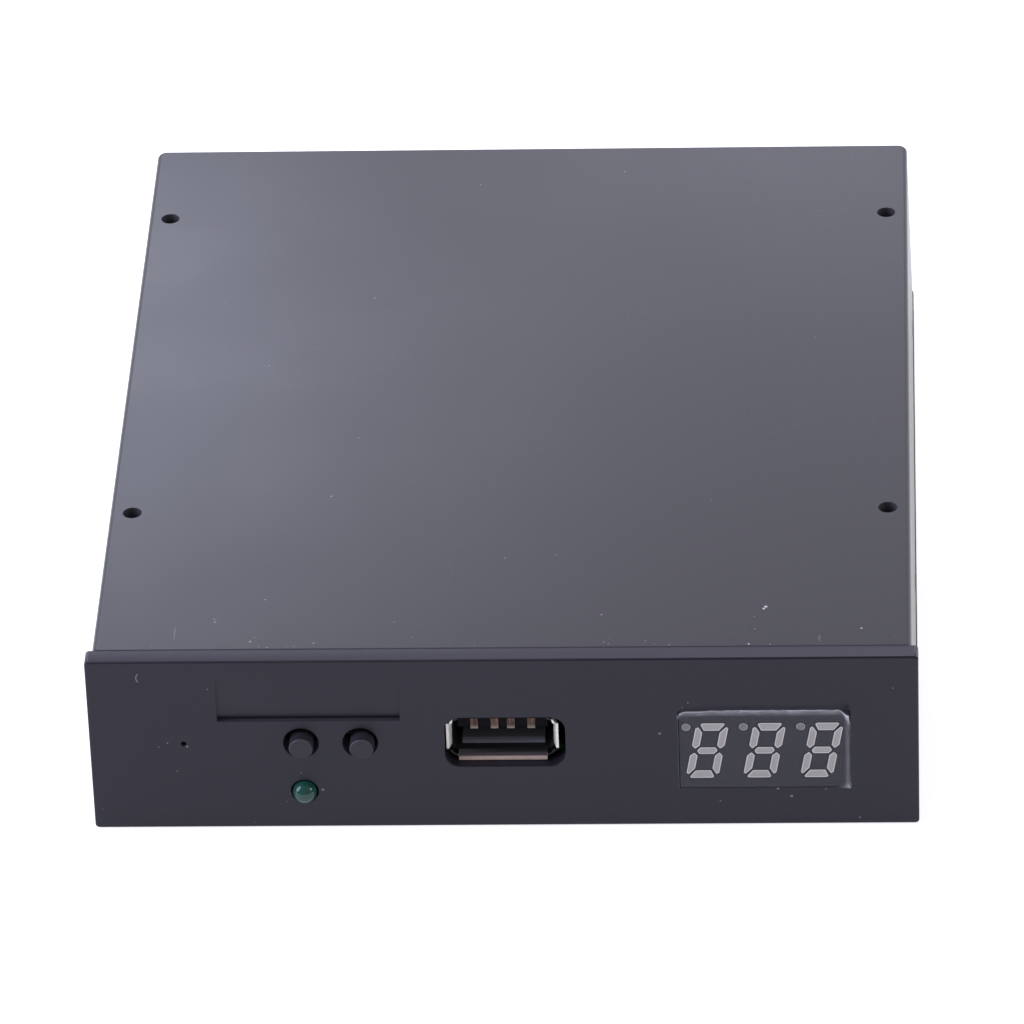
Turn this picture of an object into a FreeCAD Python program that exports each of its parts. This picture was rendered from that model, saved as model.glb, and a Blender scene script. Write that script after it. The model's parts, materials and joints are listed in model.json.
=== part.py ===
import FreeCAD, Part
from collections import namedtuple
import math
import operator
import os
import Sketcher

# Floppy drive emulator: a drive-bay box with a USB socket, two push buttons, a signal lamp and a
# three-digit display on its front, and a data header, jumpers and a power header at its rear.
# Millimetres. X runs to the right seen from the front, Y from the front to the rear, Z upwards.
# The origin is the centre of the bottom face, halfway between the bezel's face and the rear.

# Driving sizes. Each is a cell of the sheet, and everything below is worked out from them.
SIZES = {
    # Bezel
    "bezel_width": 101.6,
    "bezel_height": 24.85,
    "bezel_thick": 2.55,
    "bezel_corner": 0.5,
    "bezel_edge": 0.25,
    "bezel_ear": 0.8,
    "bezel_rim_gap": 1.13,
    "bezel_rim_length": 3.6,
    "bezel_rim_wall": 1.0,
    "hook_width": 8.0,
    "hook_rise": 0.55,
    "hook_spread": 52.0,
    "label_inset": 15.85,
    "label_width": 22.4,
    "label_drop": 1.47,
    "label_height": 7.42,
    "label_depth": 0.62,
    "pinhole_inset": 11.57,
    "pinhole_diameter": 0.7,
    # Case shells
    "case_depth": 120.15,
    "wall_lean": 0.62,
    "case_corner": 1.2,
    "cover_rise": 0.09,
    "cover_roof": 2.0,
    "cover_wall": 1.8,
    "cover_edge": 0.65,
    "base_ledge": 0.15,
    "base_floor": 2.2,
    "base_edge": 0.4,
    "seam": 0.1,
    "upstand_height": 5.6,
    "upstand_wall": 1.4,
    "upstand_gap": 0.2,
    "floor_rib_height": 1.2,
    "floor_rib_wall": 1.2,
    "snap_length": 6.0,
    "snap_rise": 0.5,
    "snap_height": 1.2,
    "snap_drop": 2.2,
    "snap_front": 16.0,
    "snap_pitch": 54.0,
    "port_gap": 0.4,
    # Screw pillars and mounting holes
    "pillar_inset": 2.8,
    "pillar_front": 32.75,
    "pillar_pitch": 70.0,
    "pillar_size": 5.2,
    "pilot_diameter": 2.4,
    "side_hole_front": 45.4,
    "side_hole_pitch": 60.0,
    "side_hole_height": 5.0,
    "side_pilot": 2.5,
    "side_hole_depth": 5.0,
    "side_boss_size": 5.2,
    # Main board and what holds it
    "board_side_gap": 1.99,
    "board_thick": 1.6,
    "board_front_gap": 0.9,
    "board_rear_gap": 1.1,
    "board_boss": 5.97,
    "board_boss_size": 6.0,
    "board_screw_inset": 7.0,
    "board_screw_front": 26.5,
    "board_screw_setback": 23.6,
    "board_hole": 3.2,
    "screw_core": 2.2,
    "screw_length": 6.0,
    "screw_head": 5.4,
    "screw_head_height": 1.9,
    "recess_length": 2.8,
    "recess_width": 0.7,
    "recess_depth": 1.1,
    "lead_stub": 1.2,
    "lead_gap": 0.1,
    # USB socket
    "usb_offset": -0.15,
    "usb_inner_width": 12.5,
    "usb_inner_height": 5.12,
    "usb_sheet": 0.3,
    "usb_length": 14.0,
    "usb_recess": 1.15,
    "usb_corner": 1.2,
    "usb_lip_length": 1.1,
    "usb_side_lip": 3.9,
    "usb_side_flare": 0.33,
    "usb_level_lip": 10.9,
    "usb_level_flare": 0.6,
    "usb_window_shift": 0.34,
    "usb_window_width": 14.85,
    "usb_window_height": 7.18,
    "usb_window_corner": 1.9,
    "usb_window_rim": 0.1,
    "usb_leg_width": 1.6,
    "usb_leg_setback": 6.3,
    "usb_leg_pitch": 5.3,
    "usb_tongue_width": 11.1,
    "usb_tongue_thick": 1.84,
    "usb_tongue_roof_gap": 0.38,
    "usb_tongue_recess": 1.75,
    "usb_block_length": 3.4,
    "usb_liner_width": 10.2,
    "usb_liner_thick": 0.3,
    "usb_liner_recess": 2.2,
    "usb_liner_slope": 0.77,
    "usb_contact_width": 1.0,
    "usb_contact_thick": 0.25,
    "usb_contact_rise": 1.3,
    "usb_contact_drop": 0.25,
    "usb_inner_pitch": 2.0,
    "usb_outer_pitch": 7.0,
    # Push buttons and their switches
    "button_inset": 25.98,
    "button_pitch": 7.27,
    "switch_shift_left": 0.07,
    "switch_shift_right": 0.25,
    "button_hole": 4.36,
    "button_diameter": 3.0,
    "button_proud_left": 1.3,
    "button_proud_right": 1.5,
    "button_travel": 0.25,
    "button_flange": 3.2,
    "button_flange_thick": 0.4,
    "button_foot": 1.6,
    "switch_width": 6.2,
    "switch_height": 5.9,
    "switch_axis": 2.87,
    "switch_body_depth": 3.4,
    "switch_setback": 1.9,
    "switch_well": 4.7,
    "switch_well_depth": 1.3,
    "frame_sheet": 0.3,
    "frame_leg_width": 1.2,
    "frame_leg_setback": 1.8,
    "stem_clearance": 0.06,
    "dome_diameter": 4.3,
    "dome_sheet": 0.1,
    "switch_pin_width": 0.6,
    "switch_pin_thick": 0.3,
    "switch_pin_span": 4.5,
    # Signal lamp
    "lamp_from_button": 0.16,
    "lamp_drop": 2.75,
    "lamp_diameter": 3.0,
    "lamp_hole": 3.4,
    "lamp_barrel": 2.8,
    "lamp_flange": 3.8,
    "lamp_flange_thick": 1.0,
    "lamp_lead": 0.5,
    "lamp_lead_pitch": 2.54,
    "lamp_lead_length": 5.1,
    "lamp_collar": 5.6,
    # Three-digit display
    "display_inset": 18.86,
    "display_axis": 11.25,
    "display_width": 20.98,
    "display_height": 11.5,
    "display_clearance": 0.12,
    "display_recess": 0.1,
    "display_depth": 6.6,
    "digit_count": 3,
    "digit_pitch": 7.0,
    "digit_drop": 0.15,
    "digit_height": 8.12,
    "digit_width": 4.0,
    "digit_slant": 1.49,
    "level_bar": 1.1,
    "middle_bar": 0.96,
    "upright_bar": 0.93,
    "bar_gap": 0.15,
    "bar_trim": 0.19,
    "bar_depth": 0.5,
    "dot_diameter": 1.1,
    "dot_from_digit": 2.54,
    "display_board_width": 23.0,
    "display_board_height": 15.0,
    "display_board_thick": 1.2,
    "display_low_pins": 6,
    "display_high_pins": 5,
    "display_pin": 0.5,
    "display_pin_pitch": 2.54,
    "display_pin_rows": 8.9,
    "display_pin_stub": 1.0,
    "rail_wall": 1.3,
    "rail_catch": 0.7,
    "film_thick": 0.12,
    "film_margin": 0.3,
    "driver_width": 9.9,
    "driver_height": 3.9,
    "driver_thick": 1.5,
    "driver_lead_count": 8,
    "driver_lead_pitch": 1.27,
    # Display cable
    "wire_count": 4,
    "cable_pin": 0.5,
    "wire_pitch": 1.25,
    "ribbon_thick": 1.0,
    "ribbon_bend": 2.1,
    "ribbon_height": 17.4,
    "socket_behind": 9.6,
    "socket_wall": 0.7,
    "socket_width": 7.6,
    "socket_depth": 4.6,
    "socket_height": 4.4,
    "plug_clearance": 0.1,
    "plug_above": 0.9,
    # Rear connectors
    "data_inset": 1.6,
    "data_count": 17,
    "pin_pitch": 2.54,
    "pin_size": 0.64,
    "data_end": 5.08,
    "data_depth": 9.0,
    "data_height": 8.9,
    "data_wall": 1.35,
    "data_cavity_depth": 6.6,
    "data_key_width": 4.6,
    "data_recess": 0.4,
    "data_pin_recess": 1.2,
    "jumper_gap": 2.9,
    "jumper_count": 7,
    "jumper_base": 2.54,
    "jumper_pin_reach": 5.6,
    "jumper_recess": 0.9,
    "cap_width": 2.4,
    "cap_height": 5.0,
    "cap_length": 5.9,
    "cap_stop": 0.1,
    "clip_sheet": 0.2,
    "clip_clearance": 0.06,
    "power_inset": 1.84,
    "power_count": 4,
    "power_pitch": 2.5,
    "power_end": 2.2,
    "power_base": 3.0,
    "power_reach": 7.0,
    "power_height": 6.6,
    "power_shelf": 1.2,
    "power_pin": 0.8,
    "power_recess": 0.5,
    # Parts on the board
    "chip_size": 7.0,
    "chip_thick": 1.4,
    "chip_from_centre": -6.0,
    "chip_from_middle": 6.0,
    "chip_lead_count": 8,
    "chip_lead_pitch": 0.8,
    "chip_lead_width": 0.35,
    "chip_lead_length": 1.0,
    "crystal_length": 11.0,
    "crystal_width": 4.6,
    "crystal_height": 3.6,
    "crystal_from_chip": 13.5,
    "regulator_width": 6.5,
    "regulator_depth": 3.5,
    "regulator_height": 1.6,
    "regulator_inset": 19.0,
    "regulator_setback": 26.6,
    "regulator_lead": 0.7,
    "regulator_lead_thick": 0.65,
    "regulator_lead_length": 1.5,
    "can_diameter": 6.3,
    "can_height": 7.7,
    "can_base": 6.6,
    "can_base_height": 0.9,
    "can_inset": 16.0,
    "can_setback": 15.1,
    "can_pitch": 16.0,
    "chip_part_length": 2.0,
    "chip_part_width": 1.25,
    "chip_part_height": 0.8,
    "chip_part_pitch": 3.6,
    "capacitor_count": 6,
    "resistor_count": 10,
    "resistor_height": 0.5,
    "service_inset": 23.0,
    "service_from_middle": 8.0,
    "service_count": 4,
    "service_pin_rise": 6.0,
}

ACTIONS = {"+": operator.add, "-": operator.sub, "*": operator.mul, "/": operator.truediv}


class Measure:
    """A size in millimetres that also knows its formula over the sheet."""

    def __init__(self, value, formula=None):
        self.value = float(value)
        self.formula = formula or f"({float(value)!r})"

    def __add__(self, other):
        return combined(self, "+", other)

    def __radd__(self, other):
        return combined(other, "+", self)

    def __sub__(self, other):
        return combined(self, "-", other)

    def __rsub__(self, other):
        return combined(other, "-", self)

    def __mul__(self, other):
        return combined(self, "*", other)

    def __rmul__(self, other):
        return combined(other, "*", self)

    def __truediv__(self, other):
        return combined(self, "/", other)

    def __neg__(self):
        return combined(0, "-", self)


def measure(thing):
    return thing if isinstance(thing, Measure) else Measure(thing)


def combined(left, sign, right):
    left = measure(left)
    right = measure(right)
    value = ACTIONS[sign](left.value, right.value)
    return Measure(value, f"({left.formula} {sign} {right.formula})")


class Sizes:
    """The sheet's cells as measures, by name."""


doc = FreeCAD.newDocument("floppy_drive_emulator")
sheet = doc.addObject("Spreadsheet::Sheet", "Sizes")
s = Sizes()
for number, (alias, value) in enumerate(SIZES.items(), 1):
    sheet.set(f"A{number}", alias)
    sheet.set(f"B{number}", str(value))
    sheet.setAlias(f"B{number}", alias)
    setattr(s, alias, Measure(value, f"Sizes.{alias}"))
doc.recompute()

# Drawing and modelling helpers

# Each base plane with the sense in which its own normal follows the world axis.
PLANES = {"XY": ("XY_Plane", 1), "XZ": ("XZ_Plane", -1), "YZ": ("YZ_Plane", 1)}
START, END, CENTRE = 1, 2, 3
ORIGIN = -1
QUARTER = math.pi / 2


def point(x, y):
    return FreeCAD.Vector(measure(x).value, measure(y).value, 0)


def tie(thing, name, size):
    """Binds a property to the formula of its size."""
    thing.setExpression(name, measure(size).formula)


class Drawing:
    """The edges of one sketch with the rules that hold them, put in together."""

    def __init__(self):
        self.edges = []
        self.rules = []

    def add(self, edge):
        self.edges.append(edge)
        return len(self.edges) - 1

    def join(self, kind, edge, following, end=END, start=START):
        """Joins the end of one edge to the start of the next, or other vertices of theirs."""
        rule = Sketcher.Constraint(kind, edge, end, following, start)
        self.rules.append((rule, None))

    def set_size(self, kind, edge, size):
        rule = Sketcher.Constraint(kind, edge, measure(size).value)
        self.rules.append((rule, size))

    def hold(self, edge, vertex, x, y):
        """Ties one point of an edge to its place from the sketch's origin."""
        for kind, size in (("DistanceX", x), ("DistanceY", y)):
            rule = Sketcher.Constraint(kind, ORIGIN, START, edge, vertex, measure(size).value)
            self.rules.append((rule, size))

    def set_end(self, edge, x):
        """Ties only the first coordinate of an edge's end."""
        rule = Sketcher.Constraint("DistanceX", ORIGIN, START, edge, END, measure(x).value)
        self.rules.append((rule, x))

    def put_into(self, sketch):
        sketch.addGeometry(self.edges, False)
        sketch.addConstraint([rule for rule, size in self.rules])
        for number, (rule, size) in enumerate(self.rules):
            if size is not None:
                tie(sketch, f"Constraints[{number}]", size)


def polygon(*corners):
    """A closed outline of straight edges."""
    def draw(drawing):
        first = len(drawing.edges)
        count = len(corners)
        for number, corner in enumerate(corners):
            following = corners[(number + 1) % count]
            edge = drawing.add(Part.LineSegment(point(*corner), point(*following)))
            drawing.join("Coincident", edge, first + (number + 1) % count)
            drawing.hold(edge, START, *corner)
    return draw


def rectangle(left, right, low, high):
    return polygon((left, low), (right, low), (right, high), (left, high))


def disc(x, y, diameter):
    """A circle."""
    def draw(drawing):
        radius = measure(diameter).value / 2
        circle = drawing.add(Part.Circle(point(x, y), FreeCAD.Vector(0, 0, 1), radius))
        drawing.hold(circle, CENTRE, x, y)
        drawing.set_size("Diameter", circle, diameter)
    return draw


def soft_rectangle(left, right, low, high, corner):
    """A rectangle with round corners: four arcs joined by tangent lines."""
    left, right, low, high, corner = map(measure, (left, right, low, high, corner))
    centres = [(left + corner, low + corner), (right - corner, low + corner),
               (right - corner, high - corner), (left + corner, high - corner)]

    def draw(drawing):
        first = len(drawing.edges)
        radius = corner.value
        for turn, centre in enumerate(centres):
            circle = Part.Circle(point(*centre), FreeCAD.Vector(0, 0, 1), radius)
            start = math.pi + turn * QUARTER
            arc = drawing.add(Part.ArcOfCircle(circle, start, start + QUARTER))
            aim = FreeCAD.Vector(math.sin(turn * QUARTER), -math.cos(turn * QUARTER), 0) * radius
            following = centres[(turn + 1) % 4]
            line = drawing.add(Part.LineSegment(point(*centre) + aim, point(*following) + aim))
            drawing.hold(arc, CENTRE, *centre)
            drawing.set_size("Radius", arc, corner)
            drawing.join("Tangent", arc, line)
            drawing.join("Tangent", line, first + 2 * ((turn + 1) % 4))
    return draw


def body(name, x=0, y=0, z=0):
    """An empty body whose own origin stands at the given place."""
    owner = doc.addObject("PartDesign::Body", name)
    for axis, size in (("x", x), ("y", y), ("z", z)):
        tie(owner, f"Placement.Base.{axis}", size)
    return owner


def origin_feature(owner, role):
    return next(feature for feature in owner.Origin.OriginFeatures if feature.Role == role)


def sketched(owner, plane, level, outlines):
    """A sketch parallel to a base plane, at the given level along the world axis."""
    role, facing = PLANES[plane]
    sketch = owner.newObject("Sketcher::SketchObject", f"{owner.Name}_sketch")
    sketch.AttachmentSupport = [(origin_feature(owner, role), "")]
    sketch.MapMode = "FlatFace"
    tie(sketch, "AttachmentOffset.Base.z", facing * measure(level))
    drawing = Drawing()
    for draw in outlines:
        draw(drawing)
    drawing.put_into(sketch)
    return sketch


def pad(owner, plane, start, stop, *outlines):
    """Adds the outlines' solid from start to stop along the plane's axis."""
    start = measure(start)
    feature = owner.newObject("PartDesign::Pad", f"{owner.Name}_pad")
    feature.Profile = sketched(owner, plane, start, outlines)
    feature.Reversed = PLANES[plane][1] < 0
    tie(feature, "Length", stop - start)
    owner.Tip = feature
    return feature


def pocket(owner, plane, start, stop, *outlines):
    """Cuts the outlines away from start to stop along the plane's axis."""
    start = measure(start)
    feature = owner.newObject("PartDesign::Pocket", f"{owner.Name}_pocket")
    feature.Profile = sketched(owner, plane, start, outlines)
    feature.Reversed = PLANES[plane][1] > 0
    tie(feature, "Length", stop - start)
    owner.Tip = feature
    return feature


def dress(owner, kind, size, wanted):
    """Rounds or bevels the edges of the body so far that the test picks."""
    doc.recompute()
    base = owner.Tip
    edges = [f"Edge{number}" for number, edge in enumerate(base.Shape.Edges, 1) if wanted(edge)]
    feature = owner.newObject(f"PartDesign::{kind}", f"{owner.Name}_{kind.lower()}")
    feature.Base = (base, edges)
    tie(feature, "Radius" if kind == "Fillet" else "Size", size)
    owner.Tip = feature
    return feature


def turned(owner, *corners):
    """A solid turned about the body's own Z axis, from a half outline of radius and height."""
    feature = owner.newObject("PartDesign::Revolution", f"{owner.Name}_turned")
    profile = sketched(owner, "XZ", 0, [polygon(*corners)])
    feature.Profile = profile
    feature.ReferenceAxis = (profile, ["V_Axis"])
    feature.Angle = 360
    owner.Tip = feature
    return feature


def row_of(owner, feature, axis, count, pitch):
    """Repeats a feature along one of the body's own axes."""
    row = owner.newObject("PartDesign::LinearPattern", f"{owner.Name}_row")
    row.Originals = [feature]
    row.Direction = (origin_feature(owner, f"{axis}_Axis"), [""])
    row.Mode = "Spacing"
    tie(row, "Offset", pitch)
    tie(row, "Occurrences", count)
    owner.Tip = row
    return row


def place(thing, x, y, z):
    for axis, size in (("x", x), ("y", y), ("z", z)):
        tie(thing, f"Placement.Base.{axis}", size)
    return thing


def block(name, left, right, near, far, low, high):
    """A rectangular block between six planes."""
    box = doc.addObject("Part::Box", name)
    tie(box, "Length", right - measure(left))
    tie(box, "Width", far - measure(near))
    tie(box, "Height", high - measure(low))
    return place(box, left, near, low)


AXES = {"X": FreeCAD.Vector(0, 1, 0), "Y": FreeCAD.Vector(-1, 0, 0), "Z": None}


def rod(name, axis, x, y, z, diameter, length):
    """A cylinder that starts at a point and runs along the axis."""
    cylinder = doc.addObject("Part::Cylinder", name)
    if AXES[axis]:
        cylinder.Placement.Rotation = FreeCAD.Rotation(AXES[axis], 90)
    tie(cylinder, "Radius", diameter / 2)
    tie(cylinder, "Height", length)
    return place(cylinder, x, y, z)


def fused(name, *parts):
    whole = doc.addObject("Part::MultiFuse", name)
    whole.Shapes = list(parts)
    return whole


def less(name, base, *tools):
    """The base with the tools cut away."""
    whole = doc.addObject("Part::Cut", name)
    whole.Base = base
    whole.Tool = tools[0] if len(tools) == 1 else fused(f"{name}_tools", *tools)
    return whole


def gathered(name, parts):
    """Separate solids of one kind, kept together."""
    group = doc.addObject("Part::Compound", name)
    group.Links = list(parts)
    return group


def centred(middle, width):
    """The two edges of a width about its middle."""
    return middle - width / 2, middle + width / 2


def edge_box(edge):
    return edge.BoundBox


def near_to(one, other):
    return abs(one - measure(other).value) < 1e-4


# Levels and lines that the sub-parts share

front = -s.case_depth / 2
rear = s.case_depth / 2
plate_rear = front + s.bezel_thick
shell_front = plate_rear + s.seam
cover_top = s.bezel_height + s.cover_rise
roof = cover_top - s.cover_roof
cover_foot = s.base_floor + s.seam
wall_face = rear - s.cover_wall

bezel_half = s.bezel_width / 2
cover_top_half = bezel_half - s.bezel_ear
cover_foot_half = cover_top_half + s.wall_lean
base_half = cover_foot_half + s.base_ledge


def cover_half(height):
    """Half the cover's outer width at a height: its walls lean outwards towards the foot."""
    return cover_top_half + s.wall_lean * (cover_top - height) / (cover_top - cover_foot)


def cover_inside(height):
    return cover_half(height) - s.cover_wall


upstand_top = s.base_floor + s.upstand_height
upstand_outer = cover_inside(upstand_top) - s.upstand_gap
upstand_inner = upstand_outer - s.upstand_wall

pillar_side = cover_top_half - s.pillar_inset
pillar_sides = (-pillar_side, pillar_side)
pillar_rows = (front + s.pillar_front, front + s.pillar_front + s.pillar_pitch)
side_hole_rows = (front + s.side_hole_front, front + s.side_hole_front + s.side_hole_pitch)
side_boss_top = s.side_hole_height + s.side_boss_size / 2

board_low = s.base_floor + s.board_boss
board_top = board_low + s.board_thick
board_front = plate_rear + s.board_front_gap
board_rear = wall_face - s.board_rear_gap
board_half = upstand_inner - s.board_side_gap
board_screw_side = board_half - s.board_screw_inset
board_screw_sides = (-board_screw_side, board_screw_side)
board_screw_rows = (front + s.board_screw_front, board_rear - s.board_screw_setback)
lead_end = board_low - s.lead_stub

usb_height = s.usb_inner_height + 2 * s.usb_sheet
usb_width = s.usb_inner_width + 2 * s.usb_sheet
usb_axis = board_top + usb_height / 2
usb_front = front + s.usb_recess
usb_tongue_low = s.usb_inner_height / 2 - s.usb_tongue_roof_gap - s.usb_tongue_thick
usb_leg_lines = (usb_front + s.usb_leg_setback, usb_front + s.usb_leg_setback + s.usb_leg_pitch)

button_left = s.button_inset - bezel_half
button_sides = {"left": button_left, "right": button_left + s.button_pitch}
switch_sides = {"left": button_sides["left"] + s.switch_shift_left,
                "right": button_sides["right"] + s.switch_shift_right}
button_proud = {"left": s.button_proud_left, "right": s.button_proud_right}
button_axis = board_top + s.switch_axis
# The dome's crown can sink by the button's travel and still clear the floor of its well.
dome_rise = s.button_travel + 2 * s.dome_sheet
switch_front = plate_rear + s.switch_setback
frame_leg_line = switch_front + s.frame_leg_setback

lamp_x = button_left + s.lamp_from_button
lamp_axis = board_low - s.lamp_drop
lamp_flange_rear = front + s.lamp_barrel + s.lamp_flange_thick
lamp_bend = lamp_flange_rear + s.lamp_lead_length

display_x = bezel_half - s.display_inset
display_face = front + s.display_recess
display_rear = display_face + s.display_depth
display_board_rear = display_rear + s.display_board_thick
display_board_left, display_board_right = centred(display_x, s.display_board_width)

# A connector's rows of pins: each row is the level where it comes out and the line where it goes
# down through the board.
PinRows = namedtuple("PinRows", "middle count pitch size rows")

data_width = (s.data_count - 1) * s.pin_pitch + 2 * s.data_end
data_x = board_half - s.data_inset - data_width / 2
data_left, data_right = centred(data_x, data_width)
data_mouth = rear - s.data_recess
data_back = data_mouth - s.data_depth
data_axis = board_top + s.data_height / 2
data_rows = PinRows(data_x, s.data_count, s.pin_pitch, s.pin_size, (
    (data_axis - s.pin_pitch / 2, data_back - s.pin_pitch / 2),
    (data_axis + s.pin_pitch / 2, data_back - s.pin_pitch * 1.5)))

jumper_width = s.jumper_count * s.pin_pitch
jumper_x = data_left - s.jumper_gap - jumper_width / 2
jumper_left, jumper_right = centred(jumper_x, jumper_width)
jumper_tip = rear - s.jumper_recess
jumper_face = jumper_tip - s.jumper_pin_reach
jumper_back = jumper_face - s.jumper_base
jumper_top = board_top + 2 * s.pin_pitch
jumper_rows = PinRows(jumper_x, s.jumper_count, s.pin_pitch, s.pin_size, (
    (board_top + s.pin_pitch / 2, jumper_back - s.pin_pitch / 2),
    (board_top + s.pin_pitch * 1.5, jumper_back - s.pin_pitch * 1.5)))

power_width = (s.power_count - 1) * s.power_pitch + 2 * s.power_end
power_x = s.power_inset + power_width / 2 - board_half
power_left, power_right = centred(power_x, power_width)
power_mouth = rear - s.power_recess
power_back = power_mouth - s.power_reach - s.power_base
power_rows = PinRows(power_x, s.power_count, s.power_pitch, s.power_pin, (
    (board_top + s.power_height / 2, power_back - s.power_pitch / 2),))

chip_y = s.chip_from_middle
socket_y = display_board_rear + s.socket_behind
cable_row = PinRows(display_x, s.wire_count, s.wire_pitch, s.cable_pin, ())
service_x = board_half - s.service_inset
service_row = PinRows(service_x, s.service_count, s.pin_pitch, s.pin_size, ())


# The slots in the cover's rear wall, one over each connector: left, right, top.
rear_ports = (
    (data_left - s.port_gap, data_right + s.port_gap, board_top + s.data_height + s.port_gap),
    (jumper_left - s.port_gap, jumper_right + s.port_gap, jumper_top + s.port_gap),
    (power_left - s.port_gap, power_right + s.port_gap, board_top + s.power_height + s.port_gap),
)
snap_rows = (shell_front + s.snap_front, shell_front + s.snap_front + s.snap_pitch)
snap_top = upstand_top - s.snap_drop + s.snap_height
hook_line = plate_rear + s.bezel_rim_length - 2 * s.hook_rise
hook_sides = (-s.hook_spread / 2, s.hook_spread / 2)


def rear_corner(edge):
    """An upright corner edge at the rear of a shell, which may lean."""
    box = edge_box(edge)
    return near_to(box.YMin, rear) and box.XMax - box.XMin < box.ZMax - box.ZMin


def make_top_cover():
    """The lid: roof, leaning side walls and rear wall in one moulding, with its screw pillars."""
    cover = body("top_cover")
    pad(cover, "XZ", shell_front, rear, polygon(
        (-cover_foot_half, cover_foot), (cover_foot_half, cover_foot),
        (cover_top_half, cover_top), (-cover_top_half, cover_top)))
    dress(cover, "Fillet", s.case_corner, rear_corner)

    def roof_edge(edge):
        box = edge_box(edge)
        return near_to(box.ZMin, cover_top) and not near_to(box.YMax, shell_front)

    dress(cover, "Fillet", s.cover_edge, roof_edge)
    pocket(cover, "XZ", shell_front, wall_face, polygon(
        (-cover_inside(cover_foot), cover_foot), (cover_inside(cover_foot), cover_foot),
        (cover_inside(roof), roof), (-cover_inside(roof), roof)))
    boss_inner = cover_half(s.side_hole_height) - s.side_hole_depth
    boss_outer = cover_top_half - s.cover_wall / 2
    pillar_inner = pillar_side - s.pillar_size / 2
    for y in pillar_rows:
        near, far = centred(y, s.pillar_size)
        pad(cover, "XY", cover_foot, roof + s.cover_roof / 2,
            rectangle(pillar_inner, boss_outer, near, far),
            rectangle(-boss_outer, -pillar_inner, near, far))
    for y in side_hole_rows:
        near, far = centred(y, s.side_boss_size)
        pad(cover, "XY", cover_foot, side_boss_top, rectangle(boss_inner, boss_outer, near, far),
            rectangle(-boss_outer, -boss_inner, near, far))
    bores = [disc(x, y, s.pilot_diameter) for x in pillar_sides for y in pillar_rows]
    pocket(cover, "XY", cover_foot - s.seam, cover_top + s.seam, *bores)
    holes = [disc(y, s.side_hole_height, s.side_pilot) for y in side_hole_rows]
    outside = cover_foot_half + s.seam
    pocket(cover, "YZ", boss_inner, outside, *holes)
    pocket(cover, "YZ", -outside, -boss_inner, *holes)
    slots = [rectangle(left, right, cover_foot - s.seam, top) for left, right, top in rear_ports]
    pocket(cover, "XZ", wall_face - s.seam, rear + s.seam, *slots)
    groove_low = snap_top - s.snap_height - s.seam
    groove_depth = s.snap_rise - s.upstand_gap + s.seam
    groove_outer = cover_inside(snap_top) + groove_depth
    groove_inner = cover_inside(snap_top) - s.cover_wall / 4
    for y in snap_rows:
        near, far = centred(y, s.snap_length + 2 * s.seam)
        pocket(cover, "XY", groove_low, snap_top + s.seam,
               rectangle(groove_inner, groove_outer, near, far),
               rectangle(-groove_outer, -groove_inner, near, far))
    catches = [rectangle(*centred(x, s.hook_width + 2 * s.seam),
                         hook_line - s.seam, hook_line + 2 * s.hook_rise + s.seam)
               for x in hook_sides]
    pocket(cover, "XY", roof - s.seam, roof + s.hook_rise, *catches)
    return cover


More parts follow.
